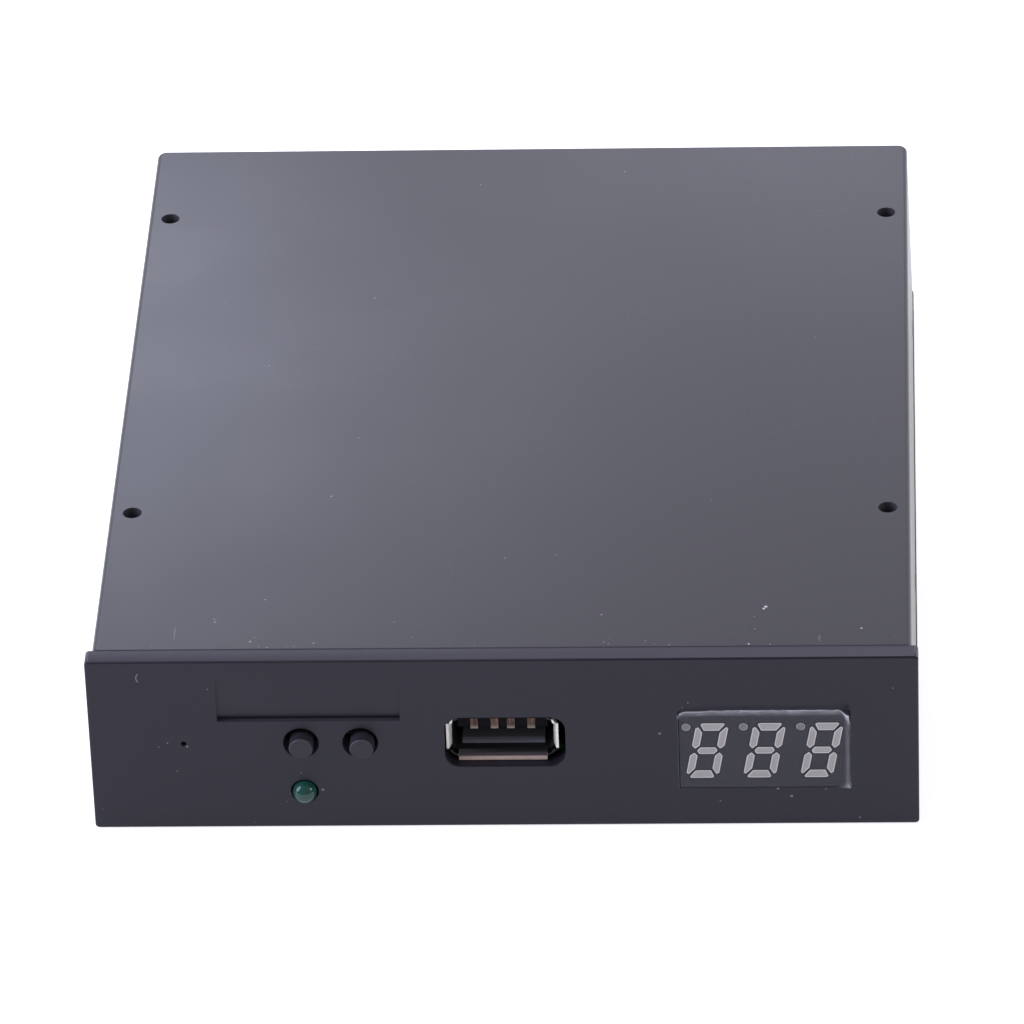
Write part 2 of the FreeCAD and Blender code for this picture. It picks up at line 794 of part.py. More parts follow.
def make_bottom_case():
    """The tray: floor, upstands that centre the cover, board bosses and rear sills."""
    tray = body("bottom_case")
    pad(tray, "XY", 0, s.base_floor, rectangle(-base_half, base_half, shell_front, rear))
    dress(tray, "Fillet", s.case_corner, rear_corner)

    def floor_edge(edge):
        box = edge_box(edge)
        return near_to(box.ZMax, 0) and not near_to(box.YMax, shell_front)

    dress(tray, "Fillet", s.base_edge, floor_edge)
    upstand_front = plate_rear + s.bezel_rim_length + s.upstand_wall
    runs = [rectangle(side - s.upstand_wall / 2, side + s.upstand_wall / 2, upstand_front, board_rear)
            for side in (upstand_outer - s.upstand_wall / 2, s.upstand_wall / 2 - upstand_outer)]
    pad(tray, "XY", s.base_floor, upstand_top, *runs)
    gap = s.pillar_size / 2 + 2 * s.upstand_gap
    boss_gap = s.side_boss_size / 2 + 2 * s.upstand_gap
    for low, high in ((pillar_rows[0] - gap, pillar_rows[0] + gap),
                      (side_hole_rows[0] - boss_gap, side_hole_rows[0] + boss_gap),
                      (pillar_rows[1] - gap, side_hole_rows[1] + boss_gap)):
        pocket(tray, "XY", s.base_floor, upstand_top + s.seam,
               rectangle(upstand_inner - s.seam, upstand_outer + s.seam, low, high),
               rectangle(-upstand_outer - s.seam, s.seam - upstand_inner, low, high))
    sills = [rectangle(left + s.port_gap / 2, right - s.port_gap / 2, s.base_floor / 2,
                       board_top - s.port_gap) for left, right, top in rear_ports]
    pad(tray, "XZ", wall_face, rear - s.seam, *sills)
    ribs = [rectangle(*centred(x, s.floor_rib_wall), board_screw_rows[0], board_screw_rows[1])
            for x in board_screw_sides]
    cross = [rectangle(board_screw_sides[0], board_screw_sides[1], *centred(y, s.floor_rib_wall))
             for y in board_screw_rows]
    for outline in ribs + cross:
        pad(tray, "XY", s.base_floor / 2, s.base_floor + s.floor_rib_height, outline)
    bosses = [rectangle(*centred(x, s.board_boss_size), *centred(y, s.board_boss_size))
              for x in board_screw_sides for y in board_screw_rows]
    pad(tray, "XY", s.base_floor / 2, board_low, *bosses)
    pilots = [disc(x, y, s.screw_core) for x in board_screw_sides for y in board_screw_rows]
    pocket(tray, "XY", board_low + s.board_thick - s.screw_length - s.seam, board_low + s.seam, *pilots)
    feet = [disc(x, y, s.pilot_diameter) for x in pillar_sides for y in pillar_rows]
    pocket(tray, "XY", -s.seam, s.base_floor + s.seam, *feet)
    snap_low = snap_top - s.snap_height
    ridge = ((upstand_outer - s.snap_rise, snap_low), (upstand_outer, snap_low),
             (upstand_outer + s.snap_rise, snap_low + s.snap_height / 3), (upstand_outer, snap_top),
             (upstand_outer - s.snap_rise, snap_top))
    mirrored = tuple((-x, z) for x, z in reversed(ridge))
    for y in snap_rows:
        near, far = centred(y, s.snap_length)
        pad(tray, "XZ", near, far, polygon(*ridge), polygon(*mirrored))
    catches = [rectangle(*centred(x, s.hook_width + 2 * s.seam),
                         hook_line - s.seam, hook_line + 2 * s.hook_rise + s.seam)
               for x in hook_sides]
    pocket(tray, "XY", s.base_floor - s.hook_rise, s.base_floor + s.seam, *catches)
    return tray


def make_front_bezel():
    """The face plate: label recess, button, lamp, USB and display openings, and its rear rim."""
    bezel = body("front_bezel")
    pad(bezel, "XZ", front, plate_rear,
        soft_rectangle(-bezel_half, bezel_half, 0, s.bezel_height, s.bezel_corner))
    dress(bezel, "Chamfer", s.bezel_edge, lambda edge: near_to(edge_box(edge).YMax, front))

    rim_half = cover_inside(roof) - s.bezel_rim_gap
    rim_low = s.base_floor + s.seam
    rim_high = roof - s.seam
    rim_end = plate_rear + s.bezel_rim_length
    wall = s.bezel_rim_wall
    rooted = front + s.bezel_thick / 2
    pad(bezel, "XZ", rooted, rim_end, rectangle(-rim_half, rim_half, rim_low, rim_high),
        rectangle(wall - rim_half, rim_half - wall, rim_low + wall, rim_high - wall))
    hook_end = hook_line + 2 * s.hook_rise
    for x in hook_sides:
        left, right = centred(x, s.hook_width)
        pad(bezel, "YZ", left, right,
            polygon((hook_line, rim_low + wall / 2), (hook_line, rim_low),
                    (hook_line, rim_low - s.hook_rise), (hook_end, rim_low),
                    (hook_end, rim_low + wall / 2)),
            polygon((hook_line, rim_high - wall / 2), (hook_end, rim_high - wall / 2),
                    (hook_end, rim_high), (hook_line, rim_high + s.hook_rise),
                    (hook_line, rim_high)))

    collar_end = front + s.lamp_barrel - s.seam
    pad(bezel, "XZ", rooted, collar_end, disc(lamp_x, lamp_axis, s.lamp_collar))
    rail_end = display_board_rear + s.seam
    rails = []
    lips = []
    for side, edge in ((-1, display_board_left), (1, display_board_right)):
        inner = edge + side * s.display_clearance
        outer = inner + side * s.rail_wall
        catch = inner - side * s.rail_catch
        rails.append(rectangle(*sorted_pair(inner, outer), *centred(s.display_axis, s.display_height)))
        lips.append(rectangle(*sorted_pair(catch, outer), *centred(s.display_axis, s.display_height)))
    pad(bezel, "XZ", rooted, rail_end, *rails)
    pad(bezel, "XZ", rail_end, rail_end + s.rail_catch, *lips)

    # The label's recess starts flush at its top and deepens towards its lower edge.
    label_left = s.label_inset - bezel_half
    label_top = s.bezel_height - s.label_drop
    label_low = label_top - s.label_height
    pocket(bezel, "YZ", label_left, label_left + s.label_width, polygon(
        (front - s.seam, label_low), (front + s.label_depth, label_low), (front, label_top),
        (front - s.seam, label_top)))
    window_left, window_right = centred(s.usb_offset + s.usb_window_shift, s.usb_window_width)
    window_low, window_high = centred(usb_axis, s.usb_window_height)
    through = rim_end + s.seam
    pocket(bezel, "XZ", front - s.seam, plate_rear + s.seam,
           disc(button_sides["left"], button_axis, s.button_hole),
           disc(button_sides["right"], button_axis, s.button_hole),
           disc(s.pinhole_inset - bezel_half, button_axis, s.pinhole_diameter))
    pocket(bezel, "XZ", front - s.seam, through, disc(lamp_x, lamp_axis, s.lamp_hole))
    pocket(bezel, "XZ", front - s.seam, through,
           soft_rectangle(window_left, window_right, window_low, window_high, s.usb_window_corner))
    pocket(bezel, "XZ", front - s.seam, through,
           rectangle(*centred(display_x, s.display_width), *centred(s.display_axis, s.display_height)))

    def window_rim(edge):
        box = edge_box(edge)
        inside = box.XMin > window_left.value - 1e-3 and box.XMax < window_right.value + 1e-3
        level = box.ZMin > window_low.value - 1e-3 and box.ZMax < window_high.value + 1e-3
        return near_to(box.YMax, front) and inside and level

    dress(bezel, "Chamfer", s.usb_window_rim, window_rim)
    return bezel


def sorted_pair(one, other):
    return (one, other) if one.value < other.value else (other, one)


def make_main_board():
    """The circuit board, notched round the cover's pillars and the display."""
    board = body("main_board")
    pad(board, "XY", board_low, board_top,
        rectangle(-board_half, board_half, board_front, board_rear))
    reach = s.pillar_size / 2 + 2 * s.upstand_gap
    edge = pillar_side - reach
    notch_gap = s.rail_wall + 2 * s.port_gap
    for y in pillar_rows:
        pocket(board, "XY", board_low - s.seam, board_top + s.seam,
               rectangle(edge, board_half + s.seam, *centred(y, 2 * reach)),
               rectangle(-board_half - s.seam, -edge, *centred(y, 2 * reach)))
    pocket(board, "XY", board_low - s.seam, board_top + s.seam,
           rectangle(display_board_left - notch_gap, board_half + s.seam, board_front - s.seam,
                     display_board_rear + s.driver_thick + 2 * s.port_gap))
    holes = [disc(x, y, s.board_hole) for x in board_screw_sides for y in board_screw_rows]
    pocket(board, "XY", board_low - s.seam, board_top + s.seam, *holes)
    slots = [rectangle(*centred(x, wide + 2 * s.lead_gap), *centred(y, deep + 2 * s.lead_gap))
             for x, y, wide, deep in usb_legs() + switch_legs() + lamp_legs()]
    pocket(board, "XY", board_low - s.seam, board_top + s.seam, *slots)
    for header in (data_rows, jumper_rows, power_rows):
        drill_row(board, header, [leg for level, leg in header.rows])
    drill_row(board, service_row, [s.service_from_middle])
    drill_row(board, cable_row, [socket_y])
    return board


def drill_row(board, header, lines):
    """The square holes of one connector's pins, on one or more lines across the board."""
    hole = header.size + 2 * s.lead_gap
    first = header.middle - (header.count - 1) * header.pitch / 2
    outlines = [rectangle(*centred(first, hole), *centred(line, hole)) for line in lines]
    holes = pocket(board, "XY", board_low - s.seam, board_top + s.seam, *outlines)
    row_of(board, holes, "X", header.count, header.pitch)


def usb_legs():
    """Each board leg of the USB shell: its middle, and its size across and along."""
    across = usb_width / 2 - s.usb_sheet / 2
    return [(s.usb_offset + side * across, y, s.usb_sheet, s.usb_leg_width)
            for side in (-1, 1) for y in usb_leg_lines]


def switch_legs():
    """The pins and the frame legs of both switches, in the same form."""
    legs = []
    for x in switch_sides.values():
        for side in (-1, 1):
            pin = x + side * s.switch_pin_span / 2
            frame = x + side * (s.switch_width + s.frame_sheet) / 2
            legs.append((pin, switch_front + s.switch_body_depth / 2, s.switch_pin_width,
                         s.switch_pin_thick))
            legs.append((frame, frame_leg_line, s.frame_sheet, s.frame_leg_width))
    return legs


def lamp_legs():
    return [(lamp_x + side * s.lamp_lead_pitch / 2, lamp_bend, s.lamp_lead, s.lamp_lead)
            for side in (-1, 1)]


def make_board_screws():
    """Four pan-head screws that hold the board to its bosses."""
    screws = []
    for x in board_screw_sides:
        for y in board_screw_rows:
            screw = body("board_screw", x, y, board_top)
            core = (s.screw_core - s.seam) / 2
            head = s.screw_head / 2
            top = s.screw_head_height
            turned(screw, (0, -s.screw_length), (core, -s.screw_length), (core, 0), (head, 0),
                   (head, top), (0, top))
            for wide, deep in ((s.recess_length, s.recess_width), (s.recess_width, s.recess_length)):
                pocket(screw, "XY", top - s.recess_depth, top + s.seam,
                       rectangle(*centred(measure(0), wide), *centred(measure(0), deep)))
            screws.append(screw)
    return gathered("board_screws", screws)


def make_usb_shell():
    """The socket's folded steel shell: a round-cornered tube with four bent lips and board legs."""
    shell = body("usb_shell", s.usb_offset, usb_front, usb_axis)
    half_width = usb_width / 2
    half_height = usb_height / 2
    sheet = s.usb_sheet
    inner_half = s.usb_inner_width / 2
    inner_rise = s.usb_inner_height / 2
    pad(shell, "XZ", 0, s.usb_length,
        soft_rectangle(-half_width, half_width, -half_height, half_height, s.usb_corner))
    legs = []
    for side in (-1, 1):
        for y in usb_leg_lines:
            outer = side * half_width
            inner = outer - side * sheet
            legs.append(rectangle(*sorted_pair(inner, outer), *centred(y - usb_front, s.usb_leg_width)))
    pad(shell, "XY", lead_end - usb_axis, measure(0), *legs)
    pocket(shell, "XZ", 0, s.usb_length - sheet,
           soft_rectangle(-inner_half, inner_half, -inner_rise, inner_rise, s.usb_corner - sheet))
    # Between its round corners each side of the mouth is cut free and bent outwards as a lip.
    side_half = s.usb_side_lip / 2
    level_half = s.usb_level_lip / 2
    pocket(shell, "XZ", 0, s.usb_lip_length,
           rectangle(-half_width - sheet, half_width + sheet, -side_half, side_half))
    pocket(shell, "XZ", 0, s.usb_lip_length,
           rectangle(-level_half, level_half, -half_height - sheet, half_height + sheet))
    for side in (-1, 1):
        pad(shell, "XY", -side_half, side_half, bent_lip(side, inner_half, s.usb_side_flare, False))
        pad(shell, "YZ", -level_half, level_half, bent_lip(side, inner_rise, s.usb_level_flare, True))
    return shell


def bent_lip(side, inner, flare, depth_first):
    """A lip seen edge on: the sheet leaves the wall's line and runs outwards to the mouth."""
    sheet = s.usb_sheet
    bend = s.usb_lip_length
    corners = [(inner, bend + sheet), (inner, bend), (inner + flare, 0), (inner + flare + sheet, 0),
               (inner + sheet, bend), (inner + sheet, bend + sheet)]
    corners = [(side * across, along) for across, along in corners]
    if depth_first:
        corners = [(along, across) for across, along in corners]
    return polygon(*corners)


def make_usb_insulator():
    """The black block behind the socket, its tongue over the contacts and its floor liner."""
    insulator = body("usb_insulator", s.usb_offset, usb_front, usb_axis)
    gap = s.seam
    half = s.usb_inner_width / 2 - gap
    rise = s.usb_inner_height / 2 - gap
    back = s.usb_length - s.usb_sheet - gap
    block_front = back - s.usb_block_length
    pad(insulator, "XZ", block_front, back,
        soft_rectangle(-half, half, -rise, rise, s.usb_corner - s.usb_sheet - gap))
    tongue_half = s.usb_tongue_width / 2
    pad(insulator, "XZ", s.usb_tongue_recess, back, rectangle(
        -tongue_half, tongue_half, usb_tongue_low, usb_tongue_low + s.usb_tongue_thick))
    liner_top = s.usb_liner_thick - rise
    pad(insulator, "YZ", *centred(measure(0), s.usb_liner_width), polygon(
        (s.usb_liner_recess, -rise), (back, -rise), (back, liner_top),
        (s.usb_liner_recess + s.usb_liner_slope, liner_top)))
    grooves = [rectangle(*centred(x, s.usb_contact_width), usb_tongue_low - s.seam,
                         usb_tongue_low + s.usb_contact_thick) for x in usb_contact_lines()]
    pocket(insulator, "XZ", s.usb_tongue_recess - s.seam, block_front, *grooves)
    return insulator


def usb_contact_lines():
    return (-s.usb_outer_pitch / 2, -s.usb_inner_pitch / 2, s.usb_inner_pitch / 2,
            s.usb_outer_pitch / 2)


def make_usb_contacts():
    """Four gilt contacts laid in the tongue's lower face, each formed round its front end."""
    end = s.usb_length - s.usb_sheet - s.seam - s.usb_block_length
    nose = s.usb_tongue_recess
    front_end = nose - s.usb_contact_thick / 2
    low = usb_tongue_low
    drop = s.usb_contact_drop
    contacts = []
    for x in usb_contact_lines():
        contact = body("usb_contact", s.usb_offset, usb_front, usb_axis)
        pad(contact, "YZ", *centred(x, s.usb_contact_width), polygon(
            (front_end, low - drop), (nose + drop, low - drop), (nose + 3 * drop, low), (end, low),
            (end, low + s.usb_contact_thick), (nose, low + s.usb_contact_thick),
            (nose, low + s.usb_contact_rise), (front_end, low + s.usb_contact_rise)))
        contacts.append(contact)
    return gathered("usb_contacts", contacts)


def make_switch(side):
    """One side-push tact switch: housing, steel frame, snap dome and two pins."""
    x = switch_sides[side]
    half = s.switch_width / 2
    axis = s.switch_axis
    housing = body(f"switch_body_{side}", x, switch_front, board_top)
    pad(housing, "XZ", 0, s.switch_body_depth, rectangle(-half, half, 0, s.switch_height))
    pocket(housing, "XZ", 0, s.switch_well_depth, disc(0, axis, s.switch_well))

    frame = body(f"switch_frame_{side}", x, switch_front, board_top)
    sheet = s.frame_sheet
    pad(frame, "XZ", -sheet, measure(0), rectangle(-half, half, s.seam, s.switch_height))
    for sign in (-1, 1):
        outer = sign * (half + sheet)
        wing = sorted_pair(sign * half, outer)
        pad(frame, "XY", s.seam, s.switch_height, rectangle(*wing, -sheet, s.switch_body_depth))
        pad(frame, "XY", lead_end - board_top, s.switch_height,
            rectangle(*wing, *centred(s.frame_leg_setback, s.frame_leg_width)))
    pocket(frame, "XZ", -2 * sheet, sheet, disc(0, axis, s.button_diameter + 2 * s.stem_clearance))

    dome = make_dome(f"switch_dome_{side}", x, switch_front + s.switch_well_depth, button_axis)

    pins = []
    for sign in (-1, 1):
        at = x + sign * s.switch_pin_span / 2
        pins.append(block(f"switch_pin_{side}", *centred(at, s.switch_pin_width),
                          *centred(switch_front + s.switch_body_depth / 2, s.switch_pin_thick),
                          lead_end, board_top))
    return {f"switch_body_{side}": housing, f"switch_frame_{side}": frame,
            f"switch_dome_{side}": dome, f"switch_pins_{side}": gathered(f"switch_pins_{side}", pins)}


def make_dome(name, x, y, z):
    """A snap dome: a thin cap of a sphere with its rim on the well's floor and its crown forward."""
    reach = s.dome_diameter / 2
    curve = (reach * reach + dome_rise * dome_rise) / (2 * dome_rise)
    centre = y - dome_rise + curve
    outside = doc.addObject("Part::Sphere", f"{name}_outside")
    tie(outside, "Radius", curve)
    place(outside, x, centre, z)
    inside = doc.addObject("Part::Sphere", f"{name}_inside")
    tie(inside, "Radius", curve - s.dome_sheet)
    place(inside, x, centre, z)
    dome = doc.addObject("Part::Common", name)
    dome.Base = less(f"{name}_shell", outside, inside)
    dome.Tool = block(f"{name}_slice", *centred(x, 2 * s.dome_diameter), y - 2 * dome_rise, y,
                      *centred(z, 2 * s.dome_diameter))
    return dome


def make_button(side):
    """The push button: a round stem, a square flange that holds it in, and a foot over the dome."""
    button = body(f"button_{side}", switch_sides[side], front, button_axis)
    tip = -button_proud[side]
    seat = switch_front - front + s.stem_clearance
    foot = seat + s.switch_well_depth - dome_rise - 2 * s.stem_clearance
    pad(button, "XZ", tip, seat, disc(0, 0, s.button_diameter))
    dress(button, "Chamfer", s.stem_clearance * 2, lambda edge: near_to(edge_box(edge).YMax, tip))
    for size, end in ((s.button_flange, seat + s.button_flange_thick), (s.button_foot, foot)):
        pad(button, "XZ", seat, end, rectangle(*centred(measure(0), size), *centred(measure(0), size)))
    return button


def make_lamp():
    """The signal lamp: a round-nosed clear body on a flange, and its two bent leads."""
    nose = doc.addObject("Part::Sphere", "lamp_nose")
    tie(nose, "Radius", s.lamp_diameter / 2)
    place(nose, lamp_x, front, lamp_axis)
    barrel = rod("lamp_barrel", "Y", lamp_x, front, lamp_axis, s.lamp_diameter, s.lamp_barrel)
    flange_front = front + s.lamp_barrel
    flange = rod("lamp_flange", "Y", lamp_x, flange_front, lamp_axis, s.lamp_flange,
                 s.lamp_flange_thick)
    lamp = fused("status_lamp", nose, barrel, flange)
    leads = []
    for sign in (-1, 1):
        lead = body("lamp_lead", lamp_x + sign * s.lamp_lead_pitch / 2, 0, lamp_axis)
        size = s.lamp_lead / 2
        pad(lead, "YZ", -size, size, polygon(
            (lamp_flange_rear, -size), (lamp_bend + size, -size),
            (lamp_bend + size, board_top - lamp_axis), (lamp_bend - size, board_top - lamp_axis),
            (lamp_bend - size, size), (lamp_flange_rear, size)))
        leads.append(lead)
    return {"status_lamp": lamp, "lamp_leads": gathered("lamp_leads", leads)}


def slanted(x, z):
    """A point of a digit, leaned to the right with its height above the digit's middle."""
    return x + z * s.digit_slant / s.digit_height, z


def digit_outlines():
    """The seven bars of one digit about its middle: a square ring and its crossbar, cut apart."""
    width = s.digit_width / 2
    height = s.digit_height / 2
    gap = s.bar_gap
    trim = s.bar_trim
    inner = width - s.upright_bar
    level = [(inner - gap, height - s.level_bar), (width - gap - 2 * trim, height - trim),
             (width - gap - 3 * trim, height)]
    tip = 2 * gap + s.upright_bar / 2
    upright = [(width - s.upright_bar / 2, 2 * gap), (width, tip), (width, height - 4 * trim),
               (width - 1.5 * trim, height - 3 * trim), (inner, height - s.level_bar - 2 * gap),
               (inner, tip)]
    reach = width - s.upright_bar / 2 - 2 * gap
    half = s.middle_bar / 2
    flat = reach - s.middle_bar / 3
    bars = [[(reach, 0), (flat, half), (-flat, half), (-reach, 0), (-flat, -half), (flat, -half)]]
    for up in (1, -1):
        bars.append([(x, up * z) for x, z in level] + [(-x, up * z) for x, z in reversed(level)])
        for side in (1, -1):
            bars.append([(side * x, up * z) for x, z in upright])
    return [[slanted(x, z) for x, z in bar] for bar in bars]


def make_display():
    """The display module: housing with light wells, its light bars and dots, pins and film."""
    face = display_face
    half_width = s.display_width / 2 - s.display_clearance
    half_height = s.display_height / 2 - s.display_clearance
    first = -(s.digit_count - 1) * s.digit_pitch / 2
    outlines = [polygon(*((first + x, z - s.digit_drop) for x, z in bar))
                for bar in digit_outlines()]
    dot_rise = s.digit_height / 2 - s.level_bar / 2 - s.digit_drop
    outlines.append(disc(first - s.dot_from_digit, dot_rise, s.dot_diameter))
    housing = body("display_housing", display_x, face, s.display_axis)
    pad(housing, "XZ", 0, s.display_depth, rectangle(-half_width, half_width, -half_height, half_height))
    wells = pocket(housing, "XZ", 0, s.bar_depth, *outlines)
    row_of(housing, wells, "X", s.digit_count, s.digit_pitch)
    bars = body("display_segments", display_x, face, s.display_axis)
    digit = pad(bars, "XZ", 0, s.bar_depth, *outlines)
    row_of(bars, digit, "X", s.digit_count, s.digit_pitch)

    card = body("display_board", display_x, display_rear, s.display_axis)
    pad(card, "XZ", 0, s.display_board_thick, rectangle(
        *centred(measure(0), s.display_board_width), *centred(measure(0), s.display_board_height)))
    pins = body("display_pins", display_x, display_rear, s.display_axis)
    hole = s.display_pin + 2 * s.lead_gap
    for side, count in ((-1, s.display_low_pins), (1, s.display_high_pins)):
        x = -(count - 1) * s.display_pin_pitch / 2
        z = side * s.display_pin_rows / 2
        drilled = pocket(card, "XZ", -s.seam, s.display_board_thick + s.seam,
                         rectangle(*centred(x, hole), *centred(z, hole)))
        row_of(card, drilled, "X", count, s.display_pin_pitch)
        pin = pad(pins, "XZ", 0, s.display_board_thick + s.display_pin_stub,
                  rectangle(*centred(x, s.display_pin), *centred(z, s.display_pin)))
        row_of(pins, pin, "X", count, s.display_pin_pitch)
    film = block("display_film", *centred(display_x, s.display_width + 2 * s.film_margin),
                 front - s.film_thick, front,
                 *centred(s.display_axis, s.display_height + 2 * s.film_margin))
    chip_rear = display_board_rear + s.driver_thick
    chip = block("driver_chip", *centred(display_x, s.driver_width), display_board_rear + s.seam,
                 chip_rear, *centred(s.display_axis, s.driver_height))
    leads = body("driver_lead", display_x, display_board_rear, s.display_axis)
    first = -(s.driver_lead_count - 1) * s.driver_lead_pitch / 2
    width = s.driver_lead_pitch / 3
    outer = s.driver_height / 2 + s.chip_lead_length
    inner = s.driver_height / 2
    knee = s.driver_thick / 2
    foot = s.seam * 1.5
    upper = [(0, outer), (foot, outer), (foot, inner + knee), (knee + foot, inner), (knee, inner),
             (0, inner + knee)]
    lower = [(y, -z) for y, z in reversed(upper)]
    lead = pad(leads, "YZ", first - width / 2, first + width / 2, polygon(*upper), polygon(*lower))
    row_of(leads, lead, "X", s.driver_lead_count, s.driver_lead_pitch)
    return {"display_housing": housing, "display_segments": bars,
            "display_pins": pins, "display_board": card,
            "display_film": film, "driver_chip": chip, "driver_leads": leads}


def make_display_cable():
    """Socket on the board, plug in it, and a flat cable that bends forward to the display's board."""
    half_width = s.socket_width / 2
    half_depth = s.socket_depth / 2
    wall = s.socket_wall
    top = s.socket_height
    socket = body("cable_socket", display_x, socket_y, board_top)
    pad(socket, "XY", 0, top, rectangle(-half_width, half_width, -half_depth, half_depth))
    pocket(socket, "XY", wall, top, rectangle(wall - half_width, half_width - wall,
                                              wall - half_depth, half_depth - wall))
    first = -(s.wire_count - 1) * s.wire_pitch / 2
    tails = body("cable_pins", display_x, socket_y, board_top)
    tail = pad(tails, "XY", lead_end - board_top, wall / 2, rectangle(
        *centred(first, s.cable_pin), *centred(measure(0), s.cable_pin)))
    row_of(tails, tail, "X", s.wire_count, s.wire_pitch)
    seat = pocket(socket, "XY", -s.seam, wall / 2, rectangle(
        *centred(first, s.cable_pin), *centred(measure(0), s.cable_pin)))
    row_of(socket, seat, "X", s.wire_count, s.wire_pitch)
    gap = s.plug_clearance
    plug_top = board_top + top + s.plug_above
    plug = block("cable_plug", display_x - half_width + wall + gap, display_x + half_width - wall - gap,
                 socket_y - half_depth + wall + gap, socket_y + half_depth - wall - gap,
                 board_top + wall, plug_top)
    ribbon = body("display_cable", display_x)
    pad(ribbon, "YZ", *centred(measure(0), s.wire_count * s.wire_pitch),
        ribbon_outline(plug_top))
    return {"cable_socket": socket, "cable_pins": tails, "cable_plug": plug,
            "display_cable": ribbon}


def ribbon_outline(low):
    """The cable seen edge on: up out of the plug, a quarter bend, then forward to the card."""
    high = s.ribbon_height
    centre = (socket_y - s.ribbon_bend, high - s.ribbon_bend)

    def draw(drawing):
        sides = []
        for offset in (s.ribbon_thick / 2, -s.ribbon_thick / 2):
            radius = s.ribbon_bend + offset
            circle = Part.Circle(point(*centre), FreeCAD.Vector(0, 0, 1), radius.value)
            rise = drawing.add(Part.LineSegment(
                point(socket_y + offset, low), point(socket_y + offset, centre[1])))
            turn = drawing.add(Part.ArcOfCircle(circle, 0, QUARTER))
            run = drawing.add(Part.LineSegment(
                point(centre[0], high + offset), point(display_board_rear, high + offset)))
            drawing.hold(rise, START, socket_y + offset, low)
            drawing.hold(turn, CENTRE, *centre)
            drawing.set_size("Radius", turn, radius)
            drawing.join("Tangent", rise, turn)
            drawing.join("Tangent", turn, run)
            drawing.set_end(run, display_board_rear)
            sides.append((rise, run))
        (outer_rise, outer_run), (inner_rise, inner_run) = sides
        foot = drawing.add(Part.LineSegment(
            drawing.edges[inner_rise].StartPoint, drawing.edges[outer_rise].StartPoint))
        tip = drawing.add(Part.LineSegment(
            drawing.edges[outer_run].EndPoint, drawing.edges[inner_run].EndPoint))
        drawing.join("Coincident", foot, outer_rise)
        drawing.join("Coincident", foot, inner_rise, START, START)
        drawing.join("Coincident", outer_run, tip)
        drawing.join("Coincident", tip, inner_run, END, END)
    return draw


def bent_pins(name, header, tip):
    """Square pins that come out rearwards and bend down through the board, row by row."""
    pins = body(name)
    outlines = []
    for level, leg in header.rows:
        low, high = centred(level, header.size)
        near, far = centred(leg, header.size)
        outlines.append(polygon((near, lead_end), (far, lead_end), (far, low), (tip, low),
                                (tip, high), (near, high)))
    first = header.middle - (header.count - 1) * header.pitch / 2
    lone = pad(pins, "YZ", *centred(first, header.size), *outlines)
    row_of(pins, lone, "X", header.count, header.pitch)
    return pins


def pierce(moulding, header, depth):
    """Cuts a fitting square hole through a moulding for each of its pins."""
    first = -(header.count - 1) * header.pitch / 2
    outlines = [rectangle(*centred(first, header.size), *centred(level - board_top, header.size))
                for level, leg in header.rows]
    hole = pocket(moulding, "XZ", -s.seam, depth + s.seam, *outlines)
    row_of(moulding, hole, "X", header.count, header.pitch)


def make_data_header():
    """The shrouded two-row data header, keyed at its top."""
    header = body("data_header", data_x, data_back, board_top)
    half = data_width / 2
    wall = s.data_wall
    cavity = s.data_depth - s.data_cavity_depth
    pad(header, "XZ", 0, s.data_depth, rectangle(-half, half, 0, s.data_height))
    pocket(header, "XZ", cavity, s.data_depth + s.seam,
           rectangle(wall - half, half - wall, wall, s.data_height - wall))
    pocket(header, "XZ", cavity, s.data_depth + s.seam,
           rectangle(*centred(measure(0), s.data_key_width), s.data_height / 2,
                     s.data_height + s.seam))
    pierce(header, data_rows, s.data_depth)
    return {"data_header": header,
            "data_pins": bent_pins("data_pins", data_rows, data_mouth - s.data_pin_recess)}


def make_jumper_header():
    """The bare two-row jumper header beside the data header."""
    header = body("jumper_header", jumper_x, jumper_back, board_top)
    half = jumper_width / 2
    pad(header, "XZ", 0, s.jumper_base, rectangle(-half, half, 0, jumper_top - board_top))
    pierce(header, jumper_rows, s.jumper_base)
    return {"jumper_header": header,
            "jumper_pins": bent_pins("jumper_pins", jumper_rows, jumper_tip)}


def make_jumper_cap(number, column):
    """A jumper cap: a moulded cover that is pushed over two pins, and its clip inside."""
    x = jumper_left + (column - 0.5) * s.pin_pitch
    middle = (board_top + jumper_top) / 2
    start = jumper_face + s.cap_stop
    cap = body(f"jumper_cap_{number}", x, start, middle)
    half_width = s.cap_width / 2
    half_height = s.cap_height / 2
    bore = s.pin_size + 2 * s.clip_clearance
    sleeve = bore + 2 * s.clip_sheet
    depth = s.jumper_pin_reach + s.cap_stop
    sleeves = [-s.pin_pitch / 2, s.pin_pitch / 2]
    pad(cap, "XZ", 0, s.cap_length, rectangle(-half_width, half_width, -half_height, half_height))
    pocket(cap, "XZ", 0, depth, *[rectangle(*centred(measure(0), sleeve), *centred(z, sleeve))
                                  for z in sleeves])
    clip = body(f"jumper_clip_{number}", x, start, middle)
    pad(clip, "XZ", s.cap_stop, depth, *[rectangle(*centred(measure(0), sleeve), *centred(z, sleeve))
                                         for z in sleeves])
    pocket(clip, "XZ", 0, depth + s.seam, *[rectangle(*centred(measure(0), bore), *centred(z, bore))
                                            for z in sleeves])
    return {f"jumper_cap_{number}": cap, f"jumper_clip_{number}": clip}


